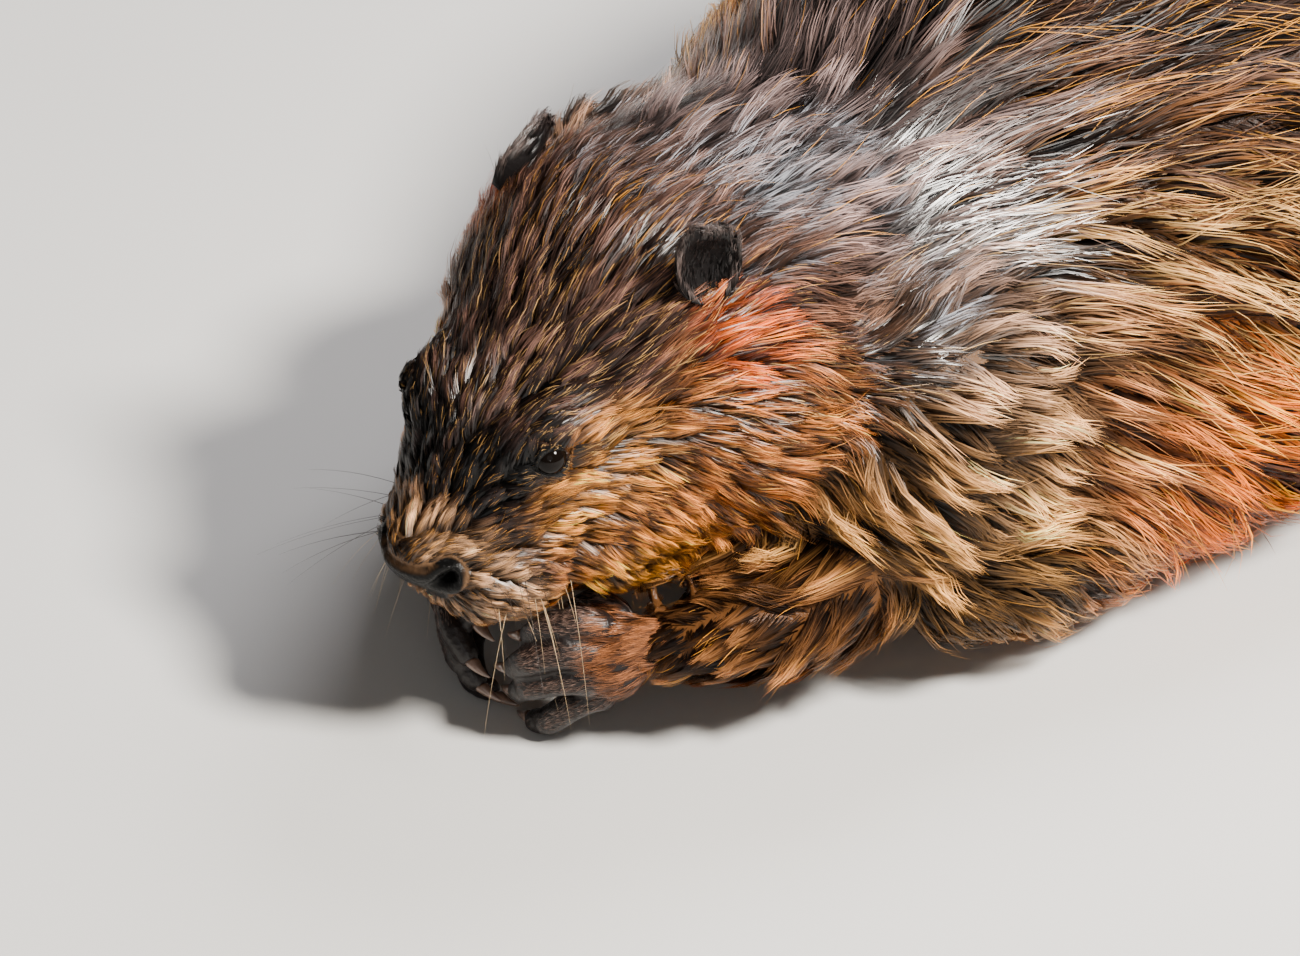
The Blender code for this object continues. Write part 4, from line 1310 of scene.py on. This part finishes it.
# Where whiskers grow (forward, up, left): hanging ones from the lip, stiff dark ones above them.
HANGING_WHISKERS = ((13.0, -3.9, 2.3), (12.5, -4.5, 2.7), (12.7, -5.1, 2.4), (11.9, -5.2, 3.0),
                    (12.1, -4.1, 3.1), (11.4, -4.7, 3.4))
STIFF_WHISKERS = ((13.2, -2.9, 2.4), (12.6, -3.1, 3.0), (12.0, -3.4, 3.4))


def whisker(bm, root, direction, length, droop):
    """A thin tapering hair that droops towards its end."""
    sides, steps, thick = 4, 7, RNG.uniform(0.010, 0.014)
    along, point, rings = direction.normalized(), root.copy(), []
    for i in range(steps + 1):
        across = along.cross(Vector((0.6, 0.8, 0))).normalized()
        up = across.cross(along)
        r = thick * (1 - 0.85 * i / steps)
        rings.append([point + across * cos * r + up * sin * r for cos, sin in circle(sides)])
        along = (along + Vector((0, 0, -droop))).normalized()
        point = point + along * length / steps
        point.z = max(point.z, WHISKER_FLOOR)
    stitch(bm, rings)


def add_whiskers(surface):
    for name, rows, colour, droop, sink, each, lengths in (
        ("whiskers_pale", HANGING_WHISKERS, (0.50, 0.36, 0.21), 0.10, 0.80, 2, (2.4, 6.2)),
        ("whiskers_dark", STIFF_WHISKERS, (0.03, 0.02, 0.015), 0.05, 0.15, 3, (3.0, 5.2)),
    ):
        bm = bmesh.new()
        for side in (1, -1):
            for forward, up, left in rows:
                for _ in range(each):
                    place = head_point(forward + RNG.uniform(-0.35, 0.35), up + RNG.uniform(-0.3, 0.3),
                                       left * side)
                    foot, normal, _, _ = surface.tree.find_nearest(place)
                    away = normal * 0.75 + Vector((0, 0, -sink)) + Vector(RNG.normal(0, 0.20, 3))
                    whisker(bm, foot - normal * 0.1, away, RNG.uniform(*lengths), droop)
        add_piece(name, mesh_from(bm, name), plain_material(name, colour, 0.35))


# --- Short hair on hands, feet and ears -------------------------------------------------------
def hand_lie(side):
    start = np.array([(WRIST[0] + 3.4) * side, WRIST[1] + 4.4, WRIST[2] + 1.0])
    return lambda points, normals: tangent(unit(points - start), normals)


def foot_lie(points, normals):
    return tangent(everywhere((0.0, -1.0, -0.12), points), normals)


def hand_creases(points, side):
    """1 where two fingers meet, 0 along the back of each."""
    reaches = []
    for digit in HAND_DIGITS:
        joints = [np.array(place_digit(p, side)) for p in digit]
        nearest = np.full(len(points), 99.0)
        for a, b in zip(joints, joints[1:]):
            distance, t = from_segment(points, a[:3], b[:3])
            nearest = np.minimum(nearest, distance - (a[3] + (b[3] - a[3]) * t))
        reaches.append(nearest)
    reaches = np.sort(reaches, axis=0)
    return below(reaches[1] - reaches[0], 0.10, 0.34) * below(reaches[1], 0.5, 0.9)


def wrist_hair(points):
    """1 at the wrist, where the arm's brown hair runs onto the hand, falling to 0 on its back."""
    return near_segment(points, MID_FOREARM, WRIST, 1.2, 2.2)


def short_style(length, width, depth, lock=0.8, pull=0.4):
    """The style of short hair; length may also be a function of the place."""
    length = length if callable(length) else even(length)
    return Style(length, even(width), even(depth), even(lock), even(0.3 * lock), even(pull),
                 even(0.5 * pull), even(1.0), 0.08, even(0.02))


def add_short_coat(name, surface, material, lie, density, style, colour, unwrap):
    """Short hair in the colour at each place, varied a little."""
    tufts = grow(surface, density, lie, style)
    count = len(tufts["roots"])
    varied = colour(tufts["roots"]) * RNG.lognormal(0, 0.35, (count, 1))
    everything = np.ones(count, bool)
    mesh = tuft_mesh(name, tufts, everything, np.clip(varied, 0.004, 0.8), unwrap)
    add_piece(name, mesh, material)
    print("COAT", name, count * 5, "triangles")


def around(axis_start, axis_end):
    """An unwrap round the line between two points, and along it."""
    start, along = np.array(axis_start, float), np.array(axis_end, float) - np.array(axis_start)
    length = np.linalg.norm(along)
    along = along / length
    first = unit(np.cross(along, [0.3, 0.2, 1.0])[None])[0]
    second = np.cross(along, first)

    def unwrap(points):
        away = points - start
        return spread(np.arctan2(away @ second, away @ first)), spread(away @ along)

    return unwrap


def foot_colour(points):
    """Blackish on the toes, the leg's own brown round the heel."""
    return blend_to(everywhere(TOE_BROWN, points), HEEL_BROWN, above(points[:, 1], 31, 36))


# A hand or foot: its skin, its short hair (lie, density, style, colour, the axis it is unwrapped
# round), its claws, and the node that the skin replaces.
LimbEnd = namedtuple("LimbEnd", "skin_and_tips colour node claw lie thick style fur axis")
Claw = namedtuple("Claw", "length radius down")


def hand_end(side):
    outer = np.array([0.75 * side, -0.25, 0.6])
    backs = lambda p, n: above(n @ outer, 0.25, 0.65) * above(p[:, 0] * side, 1.2, 2.4)
    wrist = lambda p: 0.5 * wrist_hair(p) * (1 - near_segment(p, ELBOW, MID_FOREARM, 1.5, 2.3))
    return LimbEnd(
        skin_and_tips=hand_skin(side),
        colour=HAND_BLACK,
        node="hand",
        claw=Claw(HAND_CLAW, 0.25, Vector((-0.3 * side, 0.8, 0))),
        lie=hand_lie(side),
        thick=lambda p, n: 240 * np.maximum(backs(p, n) * (1 - hand_creases(p, side)), wrist(p)),
        style=short_style(lambda p: 0.26 + 0.75 * wrist_hair(p), 0.022, 0.035, lock=0.3, pull=0.3),
        fur=lambda p: blend_to(everywhere(FINGER_GREY, p), FOREARM_BROWN, wrist_hair(p)),
        axis=(mirrored(WRIST[:3], side), (1.5 * side, -7.0, 2.5)),
    )


def foot_end(side):
    heel = lambda p: above(p[:, 1], 32.5, 36.5)
    upper = lambda p, n: above(n[:, 2] + 0.6 * heel(p), -0.1, 0.4)
    return LimbEnd(
        skin_and_tips=foot_skin(side),
        colour=FOOT_BLACK,
        node="hind_foot",
        claw=Claw(FOOT_CLAW, 0.32, Vector((0, 0, -1))),
        lie=foot_lie,
        thick=lambda p, n: 70 * above(p[:, 1], 27.5, 31.5) * upper(p, n),
        style=short_style(lambda p: 0.55 + 0.9 * heel(p), 0.042, 0.14),
        fur=foot_colour,
        axis=[(x * side, y, 1.2) for x, y in (SOLE[0][:2], SOLE[-1][:2])],
    )


def add_limb_ends(coat):
    horn = plain_material("claw", (0.15, 0.095, 0.07), 0.28, noise_scale=500, gloss=0.6)
    skin = coat_material("limb skin", 0.42, bump=1.0, bump_scale=420, shine=0.35)
    for side, side_name in SIDES:
        for kind, make in (("hand", hand_end), ("foot", foot_end)):
            part = make(side)
            mesh, tips = part.skin_and_tips
            set_corners(mesh, corners(mesh))
            paint(mesh, everywhere(part.colour, corners(mesh)))
            surface = surface_of(mesh)
            claws = [f"{kind}_claw_{side_name}_{i}" for i in range(1, 6)]
            add_claws(f"{kind}_claws_{side_name}", tips, part.claw, horn, claws)
            add_short_coat(f"{kind}_coat_{side_name}", surface, coat, part.lie, part.thick, part.style,
                           part.fur, around(*part.axis))
            nodes = [f"{part.node}_{side_name}"]
            add_piece(f"{kind}_skin_{side_name}", mesh, skin, nodes)


def ear_rim(points, side):
    """1 along the ear's edge, 0 in the middle of the cup."""
    base, along, _, across = ear_frame(side)
    away = points - np.array(base)
    v = away @ np.array(along) / EAR_LENGTH + EAR_SUNK
    out = np.abs(away @ np.array(across)) / ear_half_width(v)
    return np.maximum(above(out, 0.62, 0.92), above(v, 0.78, 0.95))


def add_ears(coat):
    skin = coat_material("ear skin", 0.6, bump=0.4, bump_scale=900, shine=0.12)
    for side, name in SIDES:
        mesh = ear_skin(side)
        base, along, face, _ = ear_frame(side)
        paint(mesh, everywhere(BLACK_BROWN, corners(mesh)))
        surface = surface_of(mesh)
        lie = lambda p, n: tangent(everywhere(along, p), n)
        outside = lambda n: above(-(n @ np.array(face)), -0.2, 0.4)
        thick = lambda p, n: 130 + 260 * np.maximum(outside(n), ear_rim(p, side))
        # Painted shade in the cup, painted light on the rim.
        fur = lambda p: blend_to(everywhere(EAR_CUP_SHADE_BLACK, p), EAR_RIM_LIT_GREY, 0.8 * ear_rim(p, side))
        length = lambda p: 0.35 + 0.30 * ear_rim(p, side)
        style = short_style(length, 0.022, 0.10, lock=0.35, pull=0.35)
        unwrap = around(base, base + along * EAR_LENGTH)
        add_short_coat("ear_coat_" + name, surface, coat, lie, thick, style, fur, unwrap)
        add_piece("ear_skin_" + name, mesh, skin, ["ear_" + name])


# --- The animal -------------------------------------------------------------------------------
SKIN_NODES = ["head", "neck", "chest", "trunk", "rump", "tail_root", "lower_jaw", "nose"] + [
    f"{part}_{side}" for part in ("upper_arm", "forearm", "hind_leg") for side in ("left", "right")
]


def build_animal():
    coat = coat_material("short coat", 0.40, shine=0.35)
    skin_material = coat_material("skin", 0.30, bump=0.8, bump_scale=700, shine=0.10)
    skin = build_skin()
    surface = surface_of(skin)
    under = coat_colour(corners(skin))
    bare = on_nose_leather(corners(skin))[:, None]
    # The skin under the coat is painted at about a quarter of the coat's colour: partly the dark
    # underfur, partly painted shade deep in the coat; the nose leather keeps its full black.
    paint(skin, np.clip(under * (0.26 + 0.74 * bare), 0.003, 1))
    add_main_coat(surface)
    add_whiskers(surface)
    add_piece("skin", skin, skin_material, SKIN_NODES)
    add_limb_ends(coat)
    add_ears(coat)
    add_piece("tail_skin", tail_skin(), scale_material(), ["tail"])
    add_eyes()


# --- Studio -----------------------------------------------------------------------------------
CAMERA_AZIMUTH, CAMERA_ELEVATION = math.radians(46), math.radians(34)
CAMERA_TARGET = Vector((4.55, -2.81, 10.56))
CAMERA_DISTANCE, PICTURE_WIDTH, FILM_WIDTH = 2.75, 0.448, 36
STUDIO_MIDDLE = Vector((0.03, 0.05, 0.1)) + SHIFT

Light = namedtuple("Light", "name offset size power colour")      # metres from the middle, watts
LIGHTS = [
    Light("key", (1.35, 0.25, 1.62), 0.45, 172, (1.0, 0.95, 0.88)),
    Light("fill", (1.6, -1.6, 1.1), 1.6, 6, (1.0, 0.97, 0.95)),
    Light("catch", (1.75, -1.55, 0.48), 0.14, 2.5, (1, 1, 1)),
    Light("sky", (-0.30, 1.45, 1.55), 1.0, 47, (0.97, 0.96, 1.0)),
]


def aim(obj, place, direction):
    obj.location = place
    obj.rotation_mode = "QUATERNION"
    obj.rotation_quaternion = direction.to_track_quat("-Z", "Y")


def add_lights():
    for light in LIGHTS:
        data = bpy.data.lights.new(light.name, "AREA")
        data.shape = "DISK"
        data.size, data.energy, data.color = light.size, light.power, light.colour
        place = STUDIO_MIDDLE + Vector(light.offset)
        aim(add_object(light.name, data), place, STUDIO_MIDDLE - place)


def add_floor():
    bm = bmesh.new()
    bmesh.ops.create_grid(bm, x_segments=1, y_segments=1, size=6)
    mesh = mesh_from(bm, "floor")
    mesh.transform(Matrix.Translation((0, 0, -0.0006)))
    mesh.materials.append(plain_material("floor", (0.60, 0.59, 0.57), 0.75, noise_scale=3, spread=0.02))
    add_object("floor", mesh)


def add_world():
    world = bpy.data.worlds.new("studio")
    bpy.context.scene.world = world
    world.use_nodes = True
    background = world.node_tree.nodes["Background"]
    background.inputs["Color"].default_value = (1.0, 0.97, 0.94, 1)
    background.inputs["Strength"].default_value = 0.13


def add_camera():
    camera = bpy.data.cameras.new("camera")
    camera.sensor_width = FILM_WIDTH
    camera.lens = FILM_WIDTH * CAMERA_DISTANCE / PICTURE_WIDTH
    camera.clip_start, camera.clip_end = 0.05, 30
    level = math.cos(CAMERA_ELEVATION)
    back = Vector((math.sin(CAMERA_AZIMUTH) * level, -math.cos(CAMERA_AZIMUTH) * level,
                   math.sin(CAMERA_ELEVATION)))
    obj = add_object("camera", camera)
    aim(obj, CAMERA_TARGET * CM + SHIFT + back * CAMERA_DISTANCE, -back)
    bpy.context.scene.camera = obj


def build_studio():
    add_floor()
    add_world()
    add_lights()
    add_camera()


build_animal()
build_studio()
